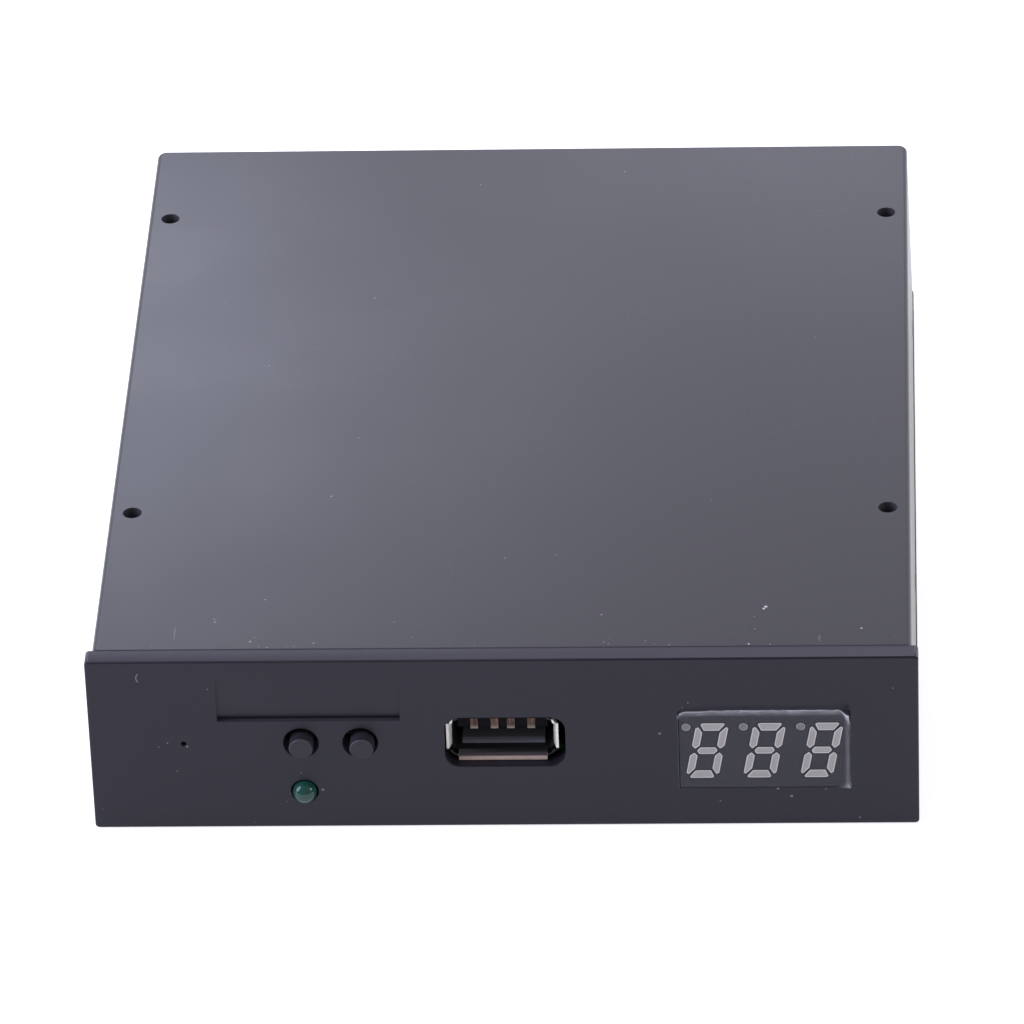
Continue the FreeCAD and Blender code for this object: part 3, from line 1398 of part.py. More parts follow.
def make_power_header():
    """The open power header: a rear wall, a shelf with side cheeks, and four pins."""
    header = body("power_header", power_x, power_back, board_top)
    half = power_width / 2
    shelf = s.power_shelf
    depth = s.power_base + s.power_reach
    pad(header, "XZ", 0, s.power_base, rectangle(-half, half, 0, s.power_height))
    pad(header, "XZ", 0, depth, polygon(
        (-half, 0), (half, 0), (half, s.power_height * 0.62), (half - shelf, s.power_height * 0.62),
        (half - shelf, shelf), (shelf - half, shelf), (shelf - half, s.power_height * 0.62),
        (-half, s.power_height * 0.62)))
    pierce(header, power_rows, s.power_base)
    return {"power_header": header,
            "power_pins": bent_pins("power_pins", power_rows, power_mouth - s.data_pin_recess)}


def make_controller():
    """The controller chip, its leads on four sides, and the crystal in its can."""
    x = s.chip_from_centre
    half = s.chip_size / 2
    chip = block("controller_chip", x - half, x + half, chip_y - half, chip_y + half,
                 board_top + s.seam, board_top + s.chip_thick)
    leads = []
    foot = s.seam * 1.5
    knee = s.chip_thick / 2
    outer = half + s.chip_lead_length
    first = -(s.chip_lead_count - 1) * s.chip_lead_pitch / 2
    outline = [(outer, 0), (outer, foot), (half + knee, foot), (half, knee + foot), (half, knee),
               (half + knee, 0)]
    opposite = [(-across, up) for across, up in reversed(outline)]
    for plane, axis in (("YZ", "X"), ("XZ", "Y")):
        rank = body("controller_lead", x, chip_y, board_top)
        lone = pad(rank, plane, *centred(first, s.chip_lead_width), polygon(*outline),
                   polygon(*opposite))
        row_of(rank, lone, axis, s.chip_lead_count, s.chip_lead_pitch)
        leads.append(rank)
    crystal = body("crystal", x + s.crystal_from_chip, chip_y, board_top)
    width = s.crystal_width / 2
    pad(crystal, "XY", 0, s.crystal_height, soft_rectangle(
        -width, width, -s.crystal_length / 2, s.crystal_length / 2, width - s.seam))
    return {"controller_chip": chip, "controller_leads": gathered("controller_leads", leads),
            "crystal": crystal}


def make_supply():
    """The voltage regulator with its tab and leads, and two filter capacitors on their bases."""
    x = s.regulator_inset - board_half
    y = board_rear - s.regulator_setback
    left, right = centred(x, s.regulator_width)
    near, far = centred(y, s.regulator_depth)
    regulator = block("regulator", left, right, near, far, board_top + s.seam,
                      board_top + s.regulator_height)
    tab = block("regulator_tab", *centred(x, s.regulator_width / 2), far,
                far + s.regulator_lead_length, board_top, board_top + s.regulator_height / 2)
    legs = [tab]
    for number in (-1, 0, 1):
        at = x + number * s.regulator_width / 3
        legs.append(block("regulator_leg", *centred(at, s.regulator_lead),
                          near - s.regulator_lead_length, near, board_top,
                          board_top + s.regulator_lead_thick))
    cans = []
    bases = []
    for number in (0, 1):
        y = board_rear - s.can_setback - number * s.can_pitch
        can_x = s.can_inset - board_half - number * s.can_diameter
        bases.append(block("capacitor_base", *centred(can_x, s.can_base), *centred(y, s.can_base),
                           board_top, board_top + s.can_base_height))
        cans.append(rod("capacitor_can", "Z", can_x, y, board_top + s.can_base_height,
                        s.can_diameter, s.can_height - s.can_base_height))
    return {"regulator": regulator, "regulator_leads": gathered("regulator_leads", legs),
            "capacitor_bases": gathered("capacitor_bases", bases),
            "filter_capacitors": gathered("filter_capacitors", cans)}


def make_chip_parts():
    """Small chip capacitors about the controller, and resistors behind the headers."""
    capacitors = []
    resistors = []
    first = s.chip_from_centre - (s.capacitor_count - 1) * s.chip_part_pitch / 2
    for number in range(int(s.capacitor_count.value)):
        x = first + number * s.chip_part_pitch
        for sign in (-1, 1):
            y = chip_y + sign * (s.chip_size + s.chip_part_length)
            capacitors.append(block("chip_capacitor", *centred(x, s.chip_part_width),
                                    *centred(y, s.chip_part_length), board_top,
                                    board_top + s.chip_part_height))
    first = data_x - (s.resistor_count - 1) * s.chip_part_pitch / 2
    y = data_back - 4 * s.pin_pitch
    for number in range(int(s.resistor_count.value)):
        x = first + number * s.chip_part_pitch
        resistors.append(block("chip_resistor", *centred(x, s.chip_part_width),
                               *centred(y, s.chip_part_length), board_top,
                               board_top + s.resistor_height))
    return {"chip_capacitors": gathered("chip_capacitors", capacitors),
            "chip_resistors": gathered("chip_resistors", resistors)}


def make_service_header():
    """The upright service header inside the case."""
    x = service_x
    y = s.service_from_middle
    half = s.service_count * s.pin_pitch / 2
    base = body("service_header", x, y, board_top)
    pad(base, "XY", 0, s.pin_pitch, rectangle(-half, half, -s.pin_pitch / 2, s.pin_pitch / 2))
    first = -(s.service_count - 1) * s.pin_pitch / 2
    hole = pocket(base, "XY", -s.seam, s.pin_pitch + s.seam,
                  rectangle(*centred(first, s.pin_size), *centred(measure(0), s.pin_size)))
    row_of(base, hole, "X", s.service_count, s.pin_pitch)
    pins = body("service_pins", x, y, board_top)
    pin = pad(pins, "XY", lead_end - board_top, s.pin_pitch + s.service_pin_rise,
              rectangle(*centred(first, s.pin_size), *centred(measure(0), s.pin_size)))
    row_of(pins, pin, "X", s.service_count, s.pin_pitch)
    return {"service_header": base, "service_pins": pins}


nodes = {
    "top_cover": make_top_cover(),
    "bottom_case": make_bottom_case(),
    "front_bezel": make_front_bezel(),
    "main_board": make_main_board(),
    "board_screws": make_board_screws(),
    "usb_shell": make_usb_shell(),
    "usb_insulator": make_usb_insulator(),
    "usb_contacts": make_usb_contacts(),
    "button_left": make_button("left"),
    "button_right": make_button("right"),
}
nodes.update(make_switch("left"))
nodes.update(make_switch("right"))
nodes.update(make_lamp())
nodes.update(make_display())
nodes.update(make_display_cable())
nodes.update(make_data_header())
nodes.update(make_jumper_header())
nodes.update(make_jumper_cap(1, 2))
nodes.update(make_jumper_cap(2, 6))
nodes.update(make_power_header())
nodes.update(make_controller())
nodes.update(make_supply())
nodes.update(make_chip_parts())
nodes.update(make_service_header())
doc.recompute()

# Nothing is written unless every object has worked out.
for thing in doc.Objects:
    if "Invalid" in thing.State or "Error" in thing.State:
        raise RuntimeError(f"{thing.Name} did not build: {thing.State}")
for name, thing in nodes.items():
    thing.Label = name
    if thing.Shape.isNull() or not thing.Shape.isValid() or not thing.Shape.Solids:
        raise RuntimeError(f"{name} has no valid solid")

os.makedirs("parts", exist_ok=True)
for name, thing in nodes.items():
    thing.Shape.exportStep(f"parts/{name}.step")
print(f"{len(nodes)} sub-parts written")
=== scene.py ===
import json
import math
import bpy
from mathutils import Matrix, Vector


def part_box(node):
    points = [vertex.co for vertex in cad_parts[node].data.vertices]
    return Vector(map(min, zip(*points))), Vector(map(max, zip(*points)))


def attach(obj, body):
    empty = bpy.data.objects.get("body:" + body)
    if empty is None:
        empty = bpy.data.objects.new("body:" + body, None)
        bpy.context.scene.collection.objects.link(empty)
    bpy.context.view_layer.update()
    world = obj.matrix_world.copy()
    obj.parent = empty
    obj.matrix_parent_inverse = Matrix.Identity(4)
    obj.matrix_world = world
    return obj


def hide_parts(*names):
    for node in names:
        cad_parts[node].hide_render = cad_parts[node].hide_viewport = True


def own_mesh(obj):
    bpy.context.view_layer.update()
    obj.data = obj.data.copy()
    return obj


# A slim drive-bay floppy drive emulator on a pale table. Metres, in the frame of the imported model:
# X to the right seen from the front, Y from the front to the rear, Z upwards.

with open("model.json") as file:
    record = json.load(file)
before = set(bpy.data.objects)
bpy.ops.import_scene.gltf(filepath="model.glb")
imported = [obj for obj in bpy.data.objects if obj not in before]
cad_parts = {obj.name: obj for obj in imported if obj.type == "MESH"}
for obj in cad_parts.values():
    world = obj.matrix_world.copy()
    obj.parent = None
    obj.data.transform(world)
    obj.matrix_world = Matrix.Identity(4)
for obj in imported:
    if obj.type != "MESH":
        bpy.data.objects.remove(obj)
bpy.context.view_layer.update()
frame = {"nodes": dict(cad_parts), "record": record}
nodes = frame["nodes"]
MM = 0.001
LID_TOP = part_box("top_cover")[1].z / MM
FACE_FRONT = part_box("front_bezel")[0].y / MM


# Helpers for materials


def linear(colour):
    """An sRGB hex colour as linear red, green, blue and alpha."""
    channels = [int(colour[start:start + 2], 16) / 255 for start in (1, 3, 5)]
    return [c / 12.92 if c <= 0.04045 else ((c + 0.055) / 1.055) ** 2.4 for c in channels] + [1.0]


def lighter(colour, times):
    """An sRGB hex colour, made so many times as light, as linear values."""
    return [channel * times for channel in linear(colour)[:3]] + [1.0]


def per(size):
    """The scale that gives a pattern features of this size in millimetres."""
    return 1 / (size * MM)


def add_node(tree, kind, *values, named=None, **settings):
    """Adds a node with its settings; its open inputs take the values in order, or by name.

    A value is a number, a colour, an output, or a node, which stands for its first open output.
    """
    made = tree.nodes.new("ShaderNode" + kind)
    for setting, value in settings.items():
        setattr(made, setting, value)
    filled = list(zip([socket for socket in made.inputs if socket.enabled], values))
    filled += [(made.inputs[name], value) for name, value in (named or {}).items()]
    for socket, value in filled:
        if isinstance(value, bpy.types.Node):
            value = next(output for output in value.outputs if output.enabled)
        if isinstance(value, bpy.types.NodeSocket):
            tree.links.new(value, socket)
        else:
            socket.default_value = value
    return made


def new_material(name):
    """An empty material, its node tree and the output of its Object coordinates."""
    material = bpy.data.materials.new(name)
    material.use_nodes = True
    material.node_tree.nodes.clear()
    place = add_node(material.node_tree, "TexCoord").outputs["Object"]
    return material, material.node_tree, place


def finish_material(material, inputs):
    """Closes a material with one Principled shader that takes the inputs."""
    shader = add_node(material.node_tree, "BsdfPrincipled", named=inputs)
    add_node(material.node_tree, "OutputMaterial", shader)
    return material


# Masks: 1 where they hold, 0 elsewhere, and a soft edge between


SOFT_EDGE = 0.1 * MM


def above(tree, value, limit):
    """A mask of where a value is above a limit."""
    return add_node(tree, "MapRange", value, limit, limit + SOFT_EDGE, 0, 1)


def below(tree, value, limit):
    """A mask of where a value is below a limit."""
    return add_node(tree, "MapRange", value, limit, limit - SOFT_EDGE, 0, 1)


def where_all(tree, mask, *others):
    """Where all the masks hold: their product."""
    for other in others:
        mask = add_node(tree, "Math", mask, other, operation="MULTIPLY")
    return mask


def where_any(tree, mask, *others):
    """Where any of the masks holds: the largest of them."""
    for other in others:
        mask = add_node(tree, "Math", mask, other, operation="MAXIMUM")
    return mask


def either_way(tree, value, middle):
    """How far a value lies from a middle one, above or below it."""
    difference = add_node(tree, "Math", value, middle, operation="SUBTRACT")
    return add_node(tree, "Math", difference, operation="ABSOLUTE")


def away_from(tree, place, point):
    """The distance from a point given in millimetres."""
    return add_node(tree, "VectorMath", place, [value * MM for value in point], operation="DISTANCE")


def facing(tree):
    """The surface's own direction, as separate X, Y and Z."""
    return add_node(tree, "SeparateXYZ", add_node(tree, "TexCoord").outputs["Normal"]).outputs


# Dust and lint


def scattered_dust(tree, place, spacing, size, white):
    """A mask of scattered specks: about one per cell, most of them too small to see."""
    cells = add_node(tree, "TexVoronoi", place, per(spacing))
    chance = add_node(tree, "SeparateColor", cells.outputs["Color"])
    rare = add_node(tree, "Math", chance, 6.0, operation="POWER")
    reach = add_node(tree, "Math", rare, size / spacing, operation="MULTIPLY")
    inside = add_node(tree, "Math", cells.outputs["Distance"], reach, operation="LESS_THAN")
    return where_all(tree, inside, white)


def settled_dust(tree, place, specks):
    """A mask of faint scattered dust and single specks: each a point, its width and how white it is."""
    mask = scattered_dust(tree, place, spacing=3.2, size=0.2, white=0.2)
    for point, wide, white in specks:
        edge = wide / 2 * MM
        core = edge * 0.6
        speck = add_node(tree, "MapRange", away_from(tree, place, point), edge, core, 0, white)
        mask = where_any(tree, mask, speck)
    return mask


def lint(tree, place, middle, radius, side, white):
    """A mask of one bent hair of lint: the part of a thin ring that lies beyond side, to the left."""
    half_width = 0.1 * MM
    off_ring = either_way(tree, away_from(tree, place, middle), radius * MM)
    hair = add_node(tree, "MapRange", off_ring, half_width, half_width / 2, 0, white)
    across = add_node(tree, "SeparateXYZ", place).outputs["X"]
    return where_all(tree, hair, below(tree, across, side * MM))


# Materials, each named for what it is and how its surface was made


def moulded_abs(name, colour, roughness, grain, index, sheen, specks=(), hairs=(), painted_light=None):
    """Injection-moulded ABS from a spark-eroded tool: satin, with a fine even grain and dust on it."""
    material, tree, place = new_material(name)
    # The real grain is about 0.1 mm; it is drawn coarser so that it shows.
    height = add_node(tree, "TexNoise", place, per(grain), 3.0)
    clouds = add_node(tree, "TexNoise", place, per(24), 2.0)
    shade = add_node(tree, "Mix", clouds, linear(colour), lighter(colour, 1.15), data_type="RGBA")
    # Painted light: where the mask holds, a paler tone lifts the shade and stands in for highlights.
    if painted_light:
        where, tone = painted_light
        shade = add_node(tree, "Mix", where(tree, place), shade, linear(tone), data_type="RGBA")
    litter = settled_dust(tree, place, specks)
    for hair in hairs:
        litter = where_any(tree, litter, lint(tree, place, *hair))
    return finish_material(material, {
        "Base Color": add_node(tree, "Mix", litter, shade, linear("#d6d5da"), data_type="RGBA"),
        "Roughness": add_node(tree, "MapRange", clouds, 0, 1, roughness - 0.04, roughness + 0.04),
        "IOR": index,
        "Specular Tint": linear(sheen),
        "Normal": add_node(tree, "Bump", named={"Height": height, "Strength": 0.12, "Distance": 0.02 * MM}),
    })


def painted_light_in_bores_and_joint(tree, place):
    """A mask of painted light on the lid's walls, lifting their shade: a little in the screw bores, most in
    the joint behind the bezel.
    """
    low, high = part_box("top_cover")
    bores_side = high.x - 1.9 * MM
    joint_rear = low.y + 1.0 * MM
    bore_light = 0.29
    spot = add_node(tree, "SeparateXYZ", place).outputs
    across = add_node(tree, "Math", spot["X"], operation="ABSOLUTE")
    slant = add_node(tree, "Math", facing(tree)["Z"], operation="ABSOLUTE")
    upright = add_node(tree, "MapRange", slant, 0.5, 0.3, 0, bore_light)
    forward = add_node(tree, "MapRange", facing(tree)["Y"], -0.15, -0.4, 0, 1)
    bores = where_all(tree, upright, below(tree, across, bores_side))
    joint = where_all(tree, forward, below(tree, spot["Y"], joint_rear))
    return where_any(tree, bores, joint)


def painted_light_on_bezel(tree, place):
    """A mask of painted light on the bezel that lifts its shade: on its rear, on the walls of its holes and
    recess, and on its top.
    """
    low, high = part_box("front_bezel")
    middle = (low + high) / 2
    outer_rim = 0.5 * MM
    wall_light, socket_light, top_light = 0.6, 0.2, 0.4
    spot = add_node(tree, "SeparateXYZ", place).outputs
    slant = add_node(tree, "Math", facing(tree)["Y"], operation="ABSOLUTE")
    inner = add_node(tree, "MapRange", slant, 0.6, 0.4, 0, 1)
    across, upwards = 0, 2
    for axis in (across, upwards):
        off = either_way(tree, spot[axis], middle[axis])
        inner = where_all(tree, inner, below(tree, off, high[axis] - middle[axis] - outer_rim))
    # Round the socket's own opening the painted light is weaker, so its shade stays darker.
    clean_reach, clean_edge = 9.5 * MM, 0.5 * MM
    socket = [sum(corner) / 2 / MM for corner in zip(*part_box("usb_shell"))]
    socket[1] = FACE_FRONT
    walls = where_all(tree, inner, add_node(
        tree, "MapRange", away_from(tree, place, socket), clean_reach + clean_edge, clean_reach,
        wall_light, socket_light))
    upward = add_node(tree, "MapRange", facing(tree)["Z"], 0.6, 0.8, 0, top_light)
    top = where_all(tree, upward, above(tree, spot["Z"], high.z - 0.3 * MM))
    rear = add_node(tree, "MapRange", facing(tree)["Y"], 0.6, 0.8, 0, 1)
    return where_any(tree, walls, top, rear)


def painted_light_on_button(tree, place):
    """A mask of painted light on a button: on its side, lifting its shade, and a painted highlight on its
    rounded rim where it faces up and to the left.
    """
    side_light = 0.3
    up_weight, left_weight = 0.9, 0.45
    outward = facing(tree)
    off_face = add_node(tree, "MapRange", outward["Y"], -0.98, -0.85, 0, 1)
    off_side = add_node(tree, "MapRange", outward["Y"], -0.05, -0.3, 0, 1)
    up = add_node(tree, "Math", outward["Z"], up_weight, operation="MULTIPLY")
    right = add_node(tree, "Math", outward["X"], left_weight, operation="MULTIPLY")
    up_and_left = add_node(tree, "Math", up, right, operation="SUBTRACT")
    rim = where_all(tree, off_face, off_side, add_node(tree, "MapRange", up_and_left, -0.1, 0.5, 0, 1))
    side = add_node(tree, "MapRange", outward["Y"], -0.3, -0.05, 0, side_light)
    return where_any(tree, rim, side)


def glass_filled_plastic(name, colour):
    """Connector plastic, moulded from a polished tool: flow marks under a soft gloss."""
    material, tree, place = new_material(name)
    flow = add_node(tree, "TexNoise", place, per(1.2), 4.0)
    fibres = add_node(tree, "TexNoise", place, per(0.3), 2.0)
    return finish_material(material, {
        "Base Color": add_node(tree, "Mix", flow, linear(colour), lighter(colour, 1.4), data_type="RGBA"),
        "Roughness": add_node(tree, "MapRange", flow, 0.3, 0.7, 0.32, 0.45),
        "IOR": 1.6,
        "Normal": add_node(tree, "Bump", named={"Height": fibres, "Strength": 0.2, "Distance": 0.01 * MM}),
    })


def socket_insulator():
    """The socket's black moulding: dull, with painted light on its liner's floor: palest within 3 mm of the
    front, standing in for reflected light, and less deeper in, lifting the shade.
    """
    material, tree, place = new_material("black_nylon_with_painted_light")
    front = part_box("usb_shell")[0].y
    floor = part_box("usb_insulator")[0].z
    liner_top, liner_full = floor + 0.5 * MM, floor + 0.35 * MM
    lit_rear, lit_front = front + 3.2 * MM, front + 3.0 * MM
    spot = add_node(tree, "SeparateXYZ", place).outputs
    # Painted light: the liner's floor is paler, fully at the front and partly deeper in.
    band = where_all(tree, add_node(tree, "MapRange", spot["Z"], liner_top, liner_full, 0, 1),
                     add_node(tree, "MapRange", spot["Y"], lit_rear, lit_front, 0.6, 1))
    cloud = add_node(tree, "TexNoise", place, per(0.8), 2.0)
    return finish_material(material, {
        "Base Color": add_node(tree, "Mix", band, linear("#151519"), linear("#9999a6"), data_type="RGBA"),
        "Roughness": add_node(tree, "MapRange", cloud, 0.3, 0.7, 0.4, 0.5),
        "IOR": 1.5,
        "Specular IOR Level": 0.03,
    })


def folded_shell_steel():
    """The socket's tin-plated shell: painted shade on its front edges and corners, painted highlights in
    pale matt colour on its side lips and, warm, on its lower lip.
    """
    material, tree, place = new_material("folded_tinned_steel")
    low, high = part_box("usb_shell")
    lips_rear = low.y + 1.15 * MM
    corner_side = 5.4 * MM
    # The side lips stop short of the shell's rounded corners.
    side_lip_side = 6.05 * MM
    side_lip_top = high.z - 0.75 * MM
    side_lip_foot = high.z - 5.2 * MM
    lower_lip_rear = low.y + 0.3 * MM
    lower_lip_top = high.z - 5.15 * MM
    outward = facing(tree)
    spot = add_node(tree, "SeparateXYZ", place).outputs
    from_middle = either_way(tree, spot["X"], (low.x + high.x) / 2)
    cut_edge = add_node(tree, "MapRange", outward["Y"], -0.8, -0.95, 0, 1)
    floor_side = add_node(tree, "MapRange", outward["Z"], 0.5, 0.8, 0, 1)
    corner = where_all(tree, below(tree, spot["Y"], lips_rear), above(tree, from_middle, corner_side))
    side_lip = where_all(tree, corner, below(tree, spot["Z"], side_lip_top),
                         above(tree, spot["Z"], side_lip_foot), above(tree, from_middle, side_lip_side))
    lower_lip = where_all(tree, below(tree, spot["Y"], lower_lip_rear),
                          below(tree, spot["Z"], lower_lip_top),
                          add_node(tree, "Math", 1.0, corner, operation="SUBTRACT"))
    # A little darker on upward faces; then painted shade on the front edges and corners, and painted
    # highlights on the lower and side lips.
    tone = add_node(tree, "Mix", floor_side, linear("#8c8784"), linear("#77757a"), data_type="RGBA")
    for where, colour in ((where_any(tree, cut_edge, corner), "#1d1c1e"), (lower_lip, "#dcc3b6"),
                          (side_lip, "#fffaf3")):
        tone = add_node(tree, "Mix", where, tone, linear(colour), data_type="RGBA")
    lines = add_node(tree, "TexNoise", place, per(0.4), 3.0)
    stain = add_node(tree, "MapRange", lines, 0.3, 0.7, 0, 0.15)
    return finish_material(material, {
        "Base Color": add_node(tree, "Mix", stain, tone, linear("#5b5552"), data_type="RGBA"),
        # The lips' painted highlights are a pale matt surface, so that they don't mirror the dark room.
        "Metallic": add_node(tree, "MapRange", where_any(tree, side_lip, lower_lip), 0, 1, 0.85, 0.05),
        "Roughness": add_node(tree, "MapRange", lines, 0.3, 0.7, 0.28, 0.36),
    })


def rubbed_gold_contacts():
    """The socket's gold-flashed contacts: brown and dull, scratched along, brighter where they bend back."""
    material, tree, place = new_material("rubbed_gold_contacts")
    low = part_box("usb_contacts")[0].z
    bend_top, bend_foot = low + 0.6 * MM, low + 0.15 * MM
    height = add_node(tree, "SeparateXYZ", place).outputs["Z"]
    bend = add_node(tree, "MapRange", height, bend_top, bend_foot, 0, 0.8)
    along = add_node(tree, "Mapping", named={"Vector": place, "Scale": (1, 0.1, 0.1)})
    lines = add_node(tree, "TexNoise", along, per(0.25), 3.0)
    scratches = add_node(tree, "MapRange", lines, 0.4, 0.65, 0, 1)
    tone = add_node(tree, "Mix", scratches, linear("#3a2e29"), linear("#5f4e46"), data_type="RGBA")
    return finish_material(material, {
        "Base Color": add_node(tree, "Mix", bend, tone, linear("#77716c"), data_type="RGBA"),
        "Metallic": 1.0,
        "Roughness": add_node(tree, "MapRange", scratches, 0, 1, 0.32, 0.42),
    })


def rolled_metal(name, colour, roughness, stretch):
    """Plated sheet or wire: bright, with fine lines left by the rollers along one direction."""
    material, tree, place = new_material(name)
    turned = add_node(tree, "Mapping", named={"Vector": place, "Scale": stretch})
    lines = add_node(tree, "TexNoise", turned, per(0.25), 3.0)
    stains = add_node(tree, "MapRange", add_node(tree, "TexNoise", place, per(2.0), 3.0), 0.4, 0.7, 0, 0.35)
    return finish_material(material, {
        "Base Color": add_node(tree, "Mix", stains, linear(colour), linear("#8d857a"), data_type="RGBA"),
        "Metallic": 1.0,
        "Roughness": add_node(tree, "MapRange", lines, 0.3, 0.7, roughness - 0.06, roughness + 0.08),
        "Normal": add_node(tree, "Bump", named={"Height": lines, "Strength": 0.15, "Distance": 0.004 * MM}),
    })


def solder_masked_board():
    """Glass-epoxy board under green solder mask: semi-gloss, with the weave just showing."""
    material, tree, place = new_material("solder_masked_glass_epoxy")
    # The real weave is under 1 mm; its bands are drawn about 15 mm apart.
    weave = add_node(tree, "TexWave", place, per(24.0), 1.5, bands_direction="DIAGONAL").outputs[1]
    showing = add_node(tree, "MapRange", weave, 0, 1, 0, 0.3)
    return finish_material(material, {
        "Base Color": add_node(tree, "Mix", showing, linear("#14462a"), linear("#1d5a38"),
                               data_type="RGBA"),
        "Roughness": 0.35,
        "IOR": 1.55,
        "Coat Weight": 0.4,
        "Coat Roughness": 0.15,
        "Normal": add_node(tree, "Bump", named={"Height": weave, "Strength": 0.1, "Distance": 0.01 * MM}),
    })


def tinted_lamp_resin():
    """Cast epoxy tinted green: smooth as glass, clear enough to show the cup inside."""
    material, tree, place = new_material("cast_green_epoxy")
    low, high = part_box("status_lamp")
    height = add_node(tree, "SeparateXYZ", place).outputs["Z"]
    haze = add_node(tree, "TexNoise", place, per(0.8), 2.0)
    # Painted light and shade: the lens is coloured lighter towards its top and darker towards its lower
    # side, where it mirrors the pale table.
    lighter_upwards = where_all(tree, add_node(tree, "MapRange", height, low.z, high.z, 0, 1),
                          add_node(tree, "MapRange", haze, 0.3, 0.7, 0.85, 1.0))
    return finish_material(material, {
        "Base Color": add_node(tree, "Mix", lighter_upwards, linear("#08201b"), linear("#2e6d60"),
                               data_type="RGBA"),
        "Roughness": 0.07,
        "IOR": 1.47,
        "Transmission Weight": 0.4,
    })


def lamp_cup_metal():
    """The stamped, silver-plated cup that holds the chip inside the lamp."""
    material, tree, place = new_material("silver_plated_cup")
    cloud = add_node(tree, "TexNoise", place, per(0.5), 2.0)
    return finish_material(material, {
        "Base Color": add_node(tree, "Mix", cloud, linear("#b8b8b4"), linear("#d0d0cc"), data_type="RGBA"),
        "Metallic": 1.0,
        "Roughness": 0.3,
    })


def painted_display_face():
    """The display's face: printed dark grey ink on white plastic, smooth and even."""
    material, tree, place = new_material("printed_grey_ink")
    ink = add_node(tree, "TexNoise", place, per(0.4), 3.0)
    return finish_material(material, {
        "Base Color": add_node(tree, "Mix", ink, linear("#131319"), linear("#17171e"), data_type="RGBA"),
        "Roughness": 0.4,
        "IOR": 1.4,
        "Specular Tint": linear("#f1eeff"),
        "Normal": add_node(tree, "Bump", named={"Height": ink, "Strength": 0.08, "Distance": 0.01 * MM}),
    })


def milky_segment_resin():
    """The light bars: cloudy epoxy poured into the display's face, unlit, paler along their rims."""
    material, tree, place = new_material("milky_epoxy")
    cloud = add_node(tree, "TexNoise", place, per(0.7), 3.0)
    rim = add_node(tree, "Attribute", attribute_name="rim").outputs["Fac"]
    dot = add_node(tree, "Attribute", attribute_name="dot").outputs["Fac"]
    bar_body = add_node(tree, "Mix", cloud, linear("#969392"), linear("#9f9c9a"), data_type="RGBA")
    bar_tone = add_node(tree, "Mix", rim, bar_body, linear("#e0dcd9"), data_type="RGBA")
    dot_tone = add_node(tree, "Mix", rim, linear("#6b6a6f"), linear("#a4a3a6"), data_type="RGBA")
    return finish_material(material, {
        "Base Color": add_node(tree, "Mix", dot, bar_tone, dot_tone, data_type="RGBA"),
        "Roughness": 0.35,
        "IOR": 1.45,
    })


def cut_ink_edge():
    """The dark line where the display's ink ends against each light bar."""
    material, tree, place = new_material("cut_ink_edge")
    cloud = add_node(tree, "TexNoise", place, per(0.3), 2.0)
    return finish_material(material, {
        "Base Color": add_node(tree, "Mix", cloud, linear("#08080c"), linear("#0c0c11"), data_type="RGBA"),
        "Roughness": 0.6,
        "IOR": 1.2,
    })


def clear_film():
    """Thin clear protective film: nearly invisible flat on, with a painted sheen where it creases and curls,
    standing in for the light they reflect.
    """
    material, tree, place = new_material("clear_polyester_film")
    painted_sheen = add_node(tree, "Attribute", attribute_name="painted_sheen").outputs["Fac"]
    cloud = add_node(tree, "TexNoise", place, per(1.2), 3.0)
    sheened = where_all(tree, painted_sheen, add_node(tree, "MapRange", cloud, 0.3, 0.7, 0.6, 1.0))
    return finish_material(material, {
        "Base Color": linear("#dfe1ea"),
        "Roughness": 0.25,
        "IOR": 1.5,
        "Alpha": add_node(tree, "MapRange", sheened, 0.0, 1.0, 0.012, 0.75),
        "Normal": add_node(tree, "Bump", named={"Height": cloud, "Strength": 0.1, "Distance": 0.05 * MM}),
    })


def chip_epoxy():
    """Moulded black epoxy of a chip package, matt from its tool."""
    material, tree, place = new_material("chip_moulding_epoxy")
    grain = add_node(tree, "TexNoise", place, per(0.2), 3.0)
    return finish_material(material, {
        "Base Color": add_node(tree, "Mix", grain, linear("#1a1a1c"), linear("#242426"), data_type="RGBA"),
        "Roughness": 0.6,
        "IOR": 1.55,
        "Normal": add_node(tree, "Bump", named={"Height": grain, "Strength": 0.25, "Distance": 0.02 * MM}),
    })


def sintered_ceramic(name, colour):
    """Fired ceramic of a chip part: fine and matt."""
    material, tree, place = new_material(name)
    grain = add_node(tree, "TexNoise", place, per(0.15), 2.0)
    return finish_material(material, {
        "Base Color": add_node(tree, "Mix", grain, linear(colour), lighter(colour, 1.25), data_type="RGBA"),
        "Roughness": 0.5,
        "IOR": 1.7,
        "Normal": add_node(tree, "Bump", named={"Height": grain, "Strength": 0.2, "Distance": 0.01 * MM}),
    })


def wire_sheath():
    """Flexible PVC over stranded wire: soft gloss with a slight ripple from the strands."""
    material, tree, place = new_material("extruded_pvc")
    # The bands come about 8 mm apart, as the strands' twist does.
    ripple = add_node(tree, "TexWave", place, per(25.0), bands_direction="X").outputs[1]
    return finish_material(material, {
        "Base Color": add_node(tree, "Mix", ripple, linear("#7a1a18"), linear("#9c2622"), data_type="RGBA"),
        "Roughness": 0.4,
        "IOR": 1.53,
        "Normal": add_node(tree, "Bump", named={"Height": ripple, "Strength": 0.4, "Distance": 0.15 * MM}),
    })


